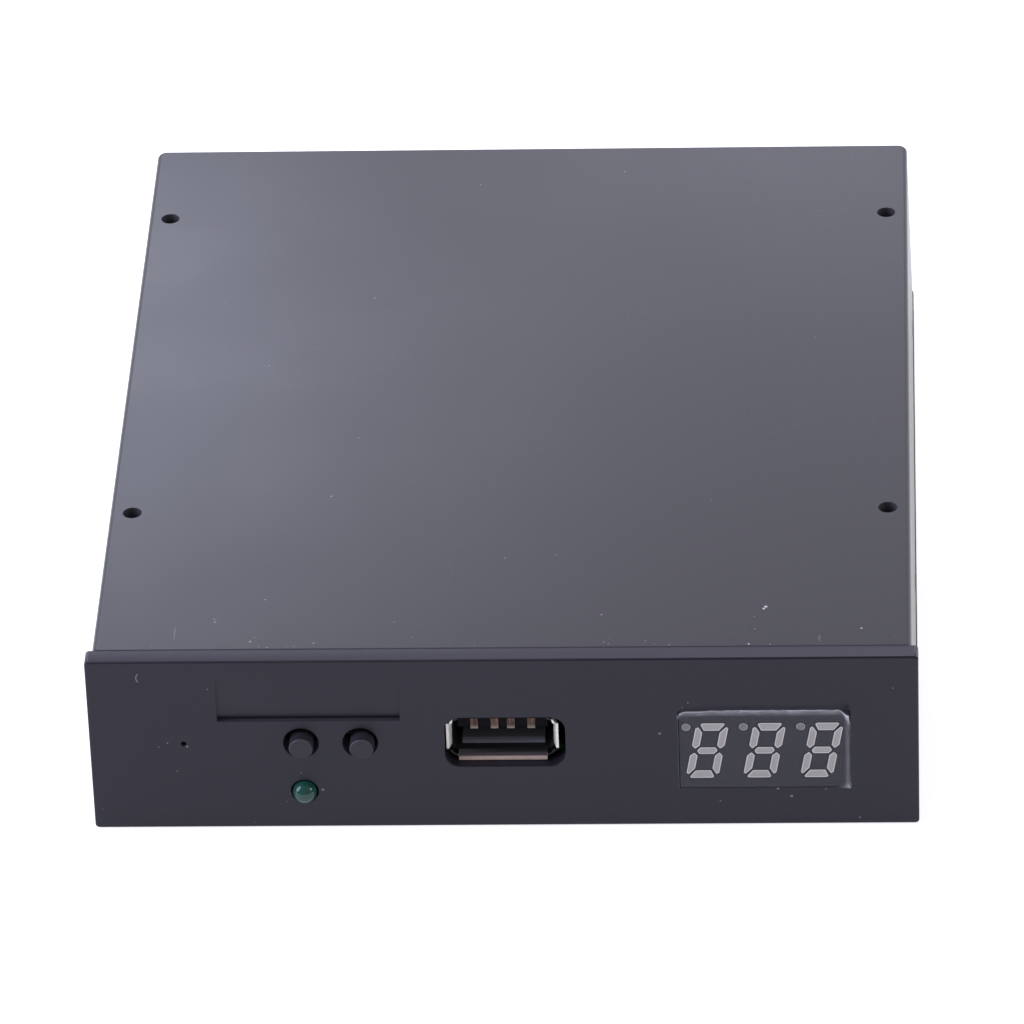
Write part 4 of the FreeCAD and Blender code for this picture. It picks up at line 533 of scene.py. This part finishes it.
# Dust on the lid, near its front edge: x, y, width and whiteness of each speck
LID_DUST = (
    (-29.4, -46.8, 0.25, 0.4), (-30.2, -55.0, 0.2, 0.25), (-30.7, -55.9, 0.3, 0.6),
    (-29.6, -57.0, 0.2, 0.25), (-28.6, -57.2, 0.25, 0.4), (-26.2, -57.0, 0.2, 0.2),
    (-25.3, -57.0, 0.2, 0.25), (-22.9, -56.3, 0.3, 0.3), (-42.8, -56.8, 0.2, 0.2),
    (-13.3, -51.9, 0.25, 0.2), (-10.9, -55.2, 0.3, 0.12), (-3.2, -57.1, 0.2, 0.25),
    (12.1, -50.6, 0.25, 0.55), (12.5, -56.5, 0.25, 0.25), (13.1, -56.8, 0.25, 0.25),
    (13.3, -55.7, 0.2, 0.2), (17.6, -56.3, 0.25, 0.2), (18.7, -57.0, 0.2, 0.25),
    (20.5, -57.2, 0.25, 0.4), (29.3, -50.6, 0.2, 0.2), (30.8, -51.2, 0.25, 0.25),
    (30.9, -53.9, 0.25, 0.35), (30.2, -57.1, 0.32, 0.85), (32.8, -57.2, 0.25, 0.4),
    (43.9, -53.9, 0.32, 0.85), (32.2, -49.1, 0.5, 1.0), (31.95, -49.5, 0.4, 1.0),
    (38.9, -55.9, 0.2, 0.2),
)
# Dust on the face: x, z, width and whiteness of each speck
FACE_DUST = (
    (-35.9, 20.8, 0.2, 0.25), (-41.2, 12.8, 0.2, 0.35), (-42.3, 12.2, 0.2, 0.2),
    (-40.2, 8.6, 0.22, 0.22), (-25.0, 8.2, 0.25, 0.14), (-26.4, 5.1, 0.2, 0.15),
    (-26.9, 3.9, 0.2, 0.15), (47.7, 20.3, 0.22, 0.2), (26.4, 3.6, 0.22, 0.22),
    (43.5, 1.0, 0.22, 0.35), (33.5, 5.4, 0.25, 0.5), (39.4, 5.3, 0.2, 0.3),
    (22.0, 17.6, 0.2, 0.2), (22.7, 18.3, 0.2, 0.3), (-49.7, 2.9, 0.2, 0.12),
    (-31.1, 0.8, 0.2, 0.15), (-38.8, 12.25, 0.24, 0.4),
)
# Bent hairs of lint: middle of the bend, its radius, where it ends to the right, and whiteness
LID_HAIRS = (((-33.4, -54.0, LID_TOP), 6.7, -39.96, 0.14), ((39.6, -55.9, LID_TOP), 0.9, 39.0, 0.14))
FACE_HAIRS = (((-43.75, FACE_FRONT, 22.5), 0.8, -44.25, 0.2),)
lid_abs = moulded_abs(
    "satin_moulded_abs", "#18181d", roughness=0.28, grain=0.3, index=1.47, sheen="#fbf1fb",
    specks=[((x, y, LID_TOP), wide, white) for x, y, wide, white in LID_DUST],
    # The paler tone in the lid's bores and joint is painted light that lifts their shade.
    hairs=LID_HAIRS, painted_light=(painted_light_in_bores_and_joint, "#8b8992"))
bezel_abs = moulded_abs(
    "matt_moulded_abs", "#16151c", roughness=0.4, grain=0.25, index=1.41, sheen="#f1eeff",
    specks=[((x, FACE_FRONT, z), wide, white) for x, z, wide, white in FACE_DUST],
    # The paler tone on the bezel's walls, top and rear is painted light that lifts their shade.
    hairs=FACE_HAIRS, painted_light=(painted_light_on_bezel, "#564f5a"))
button_abs = moulded_abs(
    "moulded_switch_stem", "#1b1a1e", roughness=0.42, grain=0.2, index=1.42, sheen="#f6f2ff",
    # The paler tone on the button's side and rim is painted light and a painted highlight.
    painted_light=(painted_light_on_button, "#4e4c55"))
black_plastic = glass_filled_plastic("glass_filled_nylon_black", "#121214")
white_plastic = glass_filled_plastic("natural_nylon", "#d9d3c2")
bright_steel = rolled_metal("nickel_plated_steel", "#c9c2b8", roughness=0.26, stretch=(1, 0.1, 1))
screw_steel = rolled_metal("zinc_plated_steel", "#b4b6ba", roughness=0.34, stretch=(1, 1, 0.2))
gilt = rolled_metal("gold_plated_contact", "#d2a24c", roughness=0.24, stretch=(1, 0.1, 1))
tin = rolled_metal("tin_plated_copper", "#c8c8c8", roughness=0.3, stretch=(1, 1, 0.15))
can = rolled_metal("drawn_aluminium", "#c6c7ca", roughness=0.3, stretch=(1, 1, 0.1))

# What each sub-part is made of
FINISHES = (
    (lid_abs, ("top_cover", "bottom_case")),
    (bezel_abs, ("front_bezel",)),
    (button_abs, ("button_left", "button_right")),
    (solder_masked_board(), ("main_board", "display_board")),
    (screw_steel, ("board_screws",)),
    (folded_shell_steel(), ("usb_shell",)),
    (socket_insulator(), ("usb_insulator",)),
    (rubbed_gold_contacts(), ("usb_contacts",)),
    (bright_steel, ("switch_frame_left", "switch_frame_right", "switch_dome_left",
                    "switch_dome_right")),
    (gilt, ("data_pins", "jumper_pins", "jumper_clip_1", "jumper_clip_2",
            "service_pins")),
    (black_plastic, ("switch_body_left", "switch_body_right", "data_header",
                     "jumper_header", "jumper_cap_1", "jumper_cap_2", "service_header")),
    (tin, ("switch_pins_left", "switch_pins_right", "lamp_leads", "display_pins", "driver_leads",
           "cable_pins", "power_pins", "controller_leads", "regulator_leads")),
    (white_plastic, ("cable_socket", "cable_plug", "power_header")),
    (tinted_lamp_resin(), ("status_lamp",)),
    (painted_display_face(), ("display_housing",)),
    (milky_segment_resin(), ("display_segments",)),
    (clear_film(), ("display_film",)),
    (chip_epoxy(), ("driver_chip", "controller_chip", "regulator", "capacitor_bases")),
    (can, ("crystal", "filter_capacitors")),
    (sintered_ceramic("tan_ceramic", "#7a5c3c"), ("chip_capacitors",)),
    (sintered_ceramic("glazed_dark_ceramic", "#26262a"), ("chip_resistors",)),
    (wire_sheath(), ("display_cable",)),
)
for material, names in FINISHES:
    for name in names:
        nodes[name].data.materials.clear()
        nodes[name].data.materials.append(material)


# Pieces


# Edges sharper than the first are eased, those sharper than the second stay creased when smoothed, and
# faces that meet at less than the third are one flat face.
EASED_ANGLE = math.radians(50)
CREASED_ANGLE = math.radians(40)
FLAT_ANGLE = math.radians(1.0)
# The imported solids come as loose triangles: corners nearer than this are one corner.
SAME_CORNER = 0.002 * MM
BODIES = {name: body for body, names in frame["record"]["behaviour"]["bodies"].items() for name in names}


def select_only(piece):
    """Leaves edit mode and makes the piece the only one selected."""
    if bpy.context.object and bpy.context.object.mode == "EDIT":
        bpy.ops.object.mode_set(mode="OBJECT")
    bpy.ops.object.select_all(action="DESELECT")
    piece.select_set(True)
    bpy.context.view_layer.objects.active = piece


def apply_modifier(piece, kind, **settings):
    """Adds a modifier with its settings and applies it."""
    select_only(piece)
    modifier = piece.modifiers.new(kind.lower(), kind)
    for name, value in settings.items():
        setattr(modifier, name, value)
    bpy.ops.object.modifier_apply(modifier=modifier.name)


def settle(piece, node):
    """Puts a finished piece in the place of a node: its body and material."""
    piece.data.materials.clear()
    piece.data.materials.append(nodes[node].data.materials[0])
    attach(piece, BODIES[node])
    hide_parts(node)


def joined_copy(node, name):
    """A node's own shape as a new piece, with its loose corners joined and its flat faces made whole."""
    piece = bpy.data.objects.new(name, nodes[node].data.copy())
    bpy.context.scene.collection.objects.link(piece)
    select_only(piece)
    bpy.ops.object.mode_set(mode="EDIT")
    bpy.ops.mesh.select_all(action="SELECT")
    bpy.ops.mesh.remove_doubles(threshold=SAME_CORNER)
    bpy.ops.mesh.dissolve_limited(angle_limit=FLAT_ANGLE)
    bpy.ops.object.mode_set(mode="OBJECT")
    return piece


def ease_edges(piece, rim, reach):
    """Rounds the sharp edges that lie within reach millimetres of the piece's front."""
    front = min(vertex.co.y for vertex in piece.data.vertices)
    select_only(piece)
    bpy.ops.object.mode_set(mode="EDIT")
    bpy.ops.mesh.select_mode(type="EDGE")
    bpy.ops.mesh.select_all(action="DESELECT")
    bpy.ops.mesh.edges_select_sharp(sharpness=EASED_ANGLE)
    bpy.ops.object.mode_set(mode="OBJECT")
    places = [vertex.co.y for vertex in piece.data.vertices]
    for edge in piece.data.edges:
        edge.select = edge.select and max(places[corner] for corner in edge.vertices) < front + reach * MM
    bpy.ops.object.mode_set(mode="EDIT")
    bpy.ops.mesh.bevel(offset=rim * MM, segments=2, affect="EDGES", clamp_overlap=True)
    bpy.ops.object.mode_set(mode="OBJECT")


def eased_copy(node, rim, reach=None):
    """A node's own shape with its sharp edges eased by rim millimetres, as its mould leaves them.

    With a reach, only the edges within so many millimetres of its front are eased.
    """
    piece = joined_copy(node, node + "_eased")
    if reach:
        ease_edges(piece, rim, reach)
    elif rim:
        apply_modifier(piece, "BEVEL", width=rim * MM, segments=2, limit_method="ANGLE",
                       angle_limit=EASED_ANGLE, use_clamp_overlap=True)
    select_only(piece)
    bpy.ops.object.shade_smooth_by_angle(angle=CREASED_ANGLE)
    apply_modifier(piece, "WEIGHTED_NORMAL", weight=100, keep_sharp=True)
    settle(piece, node)


# How far each piece's edges are eased; those with 0 are only smoothed.
EASED = (
    (0.12, ("button_left", "button_right", "jumper_cap_1", "jumper_cap_2", "power_header", "data_header",
            "jumper_header")),
    (0.1, ("bottom_case",)),
    (0.05, ("usb_shell", "usb_insulator", "usb_contacts")),
    (0.0, ("top_cover", "status_lamp")),
)
for rim, names in EASED:
    for name in names:
        eased_copy(name, rim)
# The bezel's rear edges stay sharp, because there it meets the lid face to face.
eased_copy("front_bezel", 0.12, reach=2.2)


def select_faces(piece, wanted):
    """Selects the faces for which wanted(face) holds, and leaves the piece in edit mode."""
    select_only(piece)
    bpy.ops.object.mode_set(mode="EDIT")
    bpy.ops.mesh.select_mode(type="FACE")
    bpy.ops.mesh.select_all(action="DESELECT")
    bpy.ops.object.mode_set(mode="OBJECT")
    for face in piece.data.polygons:
        face.select = wanted(face)
    bpy.ops.object.mode_set(mode="EDIT")


def faces_front(face):
    """Whether a face looks to the front."""
    return face.normal.y < -0.9


def faces_front_or_rear(face):
    """Whether a face looks to the front or to the rear."""
    return abs(face.normal.y) > 0.9


def make_light_bars():
    """The display's bars and dots, each with a paler rim; the dots are dimmer than the bars."""
    rim_width = 0.16 * MM
    widest_dot = 1.2 * MM
    bars = joined_copy("display_segments", "light_bars")
    bpy.ops.object.mode_set(mode="EDIT")
    bpy.ops.mesh.separate(type="LOOSE")
    bpy.ops.object.mode_set(mode="OBJECT")
    parts = list(bpy.context.selected_objects)
    for part in parts:
        part.data.attributes.new("rim", "FLOAT", "POINT")
        part.data.attributes.new("dot", "FLOAT", "POINT")
        select_faces(part, faces_front)
        bpy.ops.mesh.inset(thickness=rim_width)
        bpy.ops.object.mode_set(mode="OBJECT")
        is_dot = part.dimensions.x < widest_dot
        # The inset leaves the inner face selected, and all the rest is rim.
        for vertex in part.data.vertices:
            part.data.attributes["rim"].data[vertex.index].value = 0.0 if vertex.select else 1.0
            part.data.attributes["dot"].data[vertex.index].value = 1.0 if is_dot else 0.0
    select_only(bars)
    for part in parts:
        part.select_set(True)
    bpy.ops.object.join()
    settle(bars, "display_segments")


def make_ink_edges():
    """The ink's cut edge round each bar and dot: a dark collar, a hair proud of the display's face."""
    proud = 0.012 * MM
    ink_width = 0.1 * MM
    collars = joined_copy("display_segments", "ink_edges")
    select_faces(collars, faces_front_or_rear)
    bpy.ops.mesh.delete(type="FACE")
    bpy.ops.mesh.select_all(action="SELECT")
    bpy.ops.transform.translate(value=(0, -proud, 0))
    bpy.ops.object.mode_set(mode="OBJECT")
    apply_modifier(collars, "SOLIDIFY", thickness=ink_width, offset=1.0, use_even_offset=True)
    collars.data.materials.clear()
    collars.data.materials.append(cut_ink_edge())
    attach(collars, "case")


def make_lamp_cup():
    """The cup inside the lamp's lens, turned up round the chip, as the clear resin shows it."""
    low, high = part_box("status_lamp")
    middle = (low + high) / 2
    radius, depth = 0.85 * MM, 1.9 * MM
    behind_nose = 3.1 * MM
    wall, well = 0.12 * MM, 0.45 * MM
    floor_share = 0.6
    eased = 0.04 * MM
    bpy.ops.object.select_all(action="DESELECT")
    bpy.ops.mesh.primitive_cylinder_add(
        vertices=32, radius=radius, depth=depth, location=(middle.x, low.y + behind_nose, middle.z),
        rotation=(math.radians(90), 0, 0))
    cup = bpy.context.object
    cup.name = "lamp_cup"
    bpy.ops.object.transform_apply(location=True, rotation=True, scale=True)
    select_faces(cup, faces_front)
    bpy.ops.mesh.inset(thickness=wall)
    bpy.ops.mesh.extrude_region_move(TRANSFORM_OT_translate={"value": (0, well, 0)})
    bpy.ops.transform.resize(value=(floor_share, 1, floor_share),
                             center_override=(middle.x, low.y, middle.z))
    bpy.ops.object.mode_set(mode="OBJECT")
    apply_modifier(cup, "BEVEL", width=eased, segments=2, limit_method="ANGLE",
                   angle_limit=CREASED_ANGLE)
    bpy.ops.object.shade_smooth_by_angle(angle=CREASED_ANGLE)
    cup.data.materials.append(lamp_cup_metal())
    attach(cup, "case")


def make_snap_dome(side):
    """A switch's steel dome: a smoothed copy of its node."""
    node = "switch_dome_" + side
    dome = joined_copy(node, "snap_dome_" + side)
    bpy.ops.object.shade_smooth_by_angle(angle=CREASED_ANGLE)
    settle(dome, node)
    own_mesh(dome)


def raised(distance, reach):
    """1 at an edge, falling smoothly to 0 at a distance of reach inside it."""
    share = min(max(1 - distance / reach, 0.0), 1.0)
    return share * share * (3 - 2 * share)


def make_protective_film():
    """The loose film on the display: a bowed upper edge, lifted sides and a curled upper right corner."""
    low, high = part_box("display_film")
    left_edge = low.x + 0.14 * MM
    right_edge = high.x - 0.25 * MM
    foot = low.z + 0.35 * MM
    wide = right_edge - left_edge
    tall = high.z - foot
    columns, rows = 126, 70
    thickness = 0.05 * MM
    flat_lift = 0.06
    bpy.ops.object.select_all(action="DESELECT")
    bpy.ops.mesh.primitive_grid_add(
        x_subdivisions=columns, y_subdivisions=rows, size=1, rotation=(math.radians(90), 0, 0),
        location=((left_edge + right_edge) / 2, 0, (foot + high.z) / 2))
    film = bpy.context.object
    film.name = "protective_film"
    film.scale = (wide, tall, 1)
    bpy.ops.object.transform_apply(location=True, rotation=True, scale=True)
    # A per-corner painted sheen: how white the film is painted where it folds and curls.
    painted_sheen = film.data.attributes.new("painted_sheen", "FLOAT", "POINT")
    # Distances from the film's edges are in millimetres from here on, and so are the lifts.
    for vertex in film.data.vertices:
        right = (right_edge - vertex.co.x) / MM
        left = (vertex.co.x - left_edge) / MM
        top = (high.z - vertex.co.z) / MM
        bottom = (vertex.co.z - foot) / MM
        wave = 0.85 + 0.15 * math.sin(left * 2.1) * math.sin(left * 0.7 + 1.0)
        bow = raised(top, 1.1) * min(1.0, 0.3 + left / 4.0) * wave
        edge = raised(top, 0.2) * (0.6 + 0.15 * math.sin(left * 3.3) + 0.2 * math.sin(left * 0.9))
        side = raised(abs(right - 0.35), 0.45) * 0.35
        corner = raised(right + 0.5 * top, 1.5)
        lower_corner = raised(0.6 * right + bottom, 1.3) * 0.6
        start = raised(left + top, 1.8) * 0.6
        # How strong each fold is here, how far it lifts the film and how white its painted sheen makes it
        creases = ((bow, 0.38, 0.24), (edge, 0.0, 0.75), (side, 0.15, 0.28), (corner, 0.8, 1.1),
                   (lower_corner, 0.15, 0.35), (start, 0.25, 0.35))
        lift = flat_lift + sum(strength * height for strength, height, white in creases)
        sheen_share = sum(strength * white for strength, height, white in creases)
        painted_sheen.data[vertex.index].value = min(1.0, sheen_share)
        # The upper edge lies lower over the first digit, where the film was cut askew.
        askew = raised(left - 2.2, 2.4) * raised(top, 3.0)
        end_dip = raised(left, 1.0) * raised(top, 0.9)
        end_tuck = raised(left, 0.8) * raised(top, 0.8)
        vertex.co.x += (0.3 * end_tuck - 0.2 * corner) * MM
        vertex.co.y = high.y - lift * MM
        vertex.co.z += (0.12 * bow - 0.3 * corner - 0.16 * askew - 0.25 * end_dip) * MM
    apply_modifier(film, "SOLIDIFY", thickness=thickness, offset=1.0)
    select_only(film)
    bpy.ops.object.shade_smooth()
    settle(film, "display_film")


make_lamp_cup()
make_light_bars()
make_ink_edges()
make_protective_film()
make_snap_dome("left")
make_snap_dome("right")


# Table, light and camera


def make_table():
    """The light table: pale paper, lit a little from behind."""
    bpy.ops.object.select_all(action="DESELECT")
    bpy.ops.mesh.primitive_plane_add(size=8.0, location=(0, 0, 0))
    table = bpy.context.object
    table.name = "table"
    material, tree, place = new_material("white_paper")
    fibres = add_node(tree, "TexNoise", place, per(0.6), 3.0)
    finish_material(material, {
        "Base Color": add_node(tree, "Mix", fibres, linear("#f6f6f7"), linear("#f9f9fa"),
                               data_type="RGBA"),
        "Roughness": 0.9,
        "Emission Color": linear("#ffffff"),
        "Emission Strength": GLOW,
    })
    table.data.materials.append(material)


def add_softbox(name, place, width, height, power, colour):
    """A rectangular soft light that faces the object's middle."""
    light = bpy.data.lights.new(name, "AREA")
    light.shape = "RECTANGLE"
    light.size = width
    light.size_y = height
    light.energy = power
    light.color = linear(colour)[:3]
    holder = bpy.data.objects.new(name, light)
    bpy.context.scene.collection.objects.link(holder)
    holder.location = place
    holder.rotation_euler = (-Vector(place)).to_track_quat("-Z", "Y").to_euler()
    holder.visible_camera = False


def set_world():
    """The room: an even dim grey, so that the soft lights and the pale table do the work."""
    world = bpy.data.worlds.new("studio")
    bpy.context.scene.world = world
    world.use_nodes = True
    tree = world.node_tree
    tree.nodes.clear()
    back = add_node(tree, "Background", linear("#f2f3fa"), WORLD)
    add_node(tree, "OutputWorld", back)


def place_camera():
    """The photograph's view: a long lens in front of the face, high up and a little to the right."""
    to_the_right, in_front, height = 0.0485566, 0.8349977, 0.6024536
    looking_down = 33.6179
    place = (to_the_right, FACE_FRONT * MM - in_front, height)
    turn = math.radians(3.181)
    tilt = math.radians(90 - looking_down)
    roll = math.radians(-2.1981)
    lens = bpy.data.cameras.new("camera")
    lens.sensor_width = 36.0
    lens.lens = 293.96
    lens.clip_start = 0.05
    lens.clip_end = 20.0
    holder = bpy.data.objects.new("camera", lens)
    bpy.context.scene.collection.objects.link(holder)
    aim = Matrix.Rotation(turn, 4, "Z") @ Matrix.Rotation(tilt, 4, "X") @ Matrix.Rotation(roll, 4, "Z")
    holder.matrix_world = Matrix.Translation(place) @ aim
    bpy.context.scene.camera = holder


# Strength of the room's own light and of the light table's glow; then the soft lights, each with its
# name, place, width, height, watts and colour
WORLD = 0.31
GLOW = 0.66
SOFTBOXES = (
    ("left_softbox", (-0.82, -0.16, 0.51), 0.5, 0.8, 8.8, "#dbe0ff"),
    ("right_softbox", (0.86, -0.17, 0.51), 0.32, 0.4, 1.9, "#fbf6f8"),
    ("rear_sweep", (0.0, 0.42, 0.17), 1.1, 0.3, 1.31, "#ebeeff"),
    ("rear_left_panel", (-0.125, 0.3, 0.215), 0.14, 0.08, 0.106, "#dde9ff"),
    ("rear_middle_panel", (-0.056, 0.3, 0.21), 0.1, 0.07, 0.035, "#e6edff"),
    ("rear_right_panel", (0.05, 0.3, 0.165), 0.12, 0.03, 0.036, "#e6edff"),
    ("rear_high_panel", (0.0, 0.3, 0.285), 0.3, 0.06, 0.062, "#f0f2ff"),
    ("overhead_panel", (0.0, 0.1, 1.1), 1.0, 1.0, 0.6, "#ffffff"),
)
make_table()
set_world()
for softbox in SOFTBOXES:
    add_softbox(*softbox)
place_camera()
view = bpy.context.scene.view_settings
view.view_transform = "Standard"
view.look = "None"
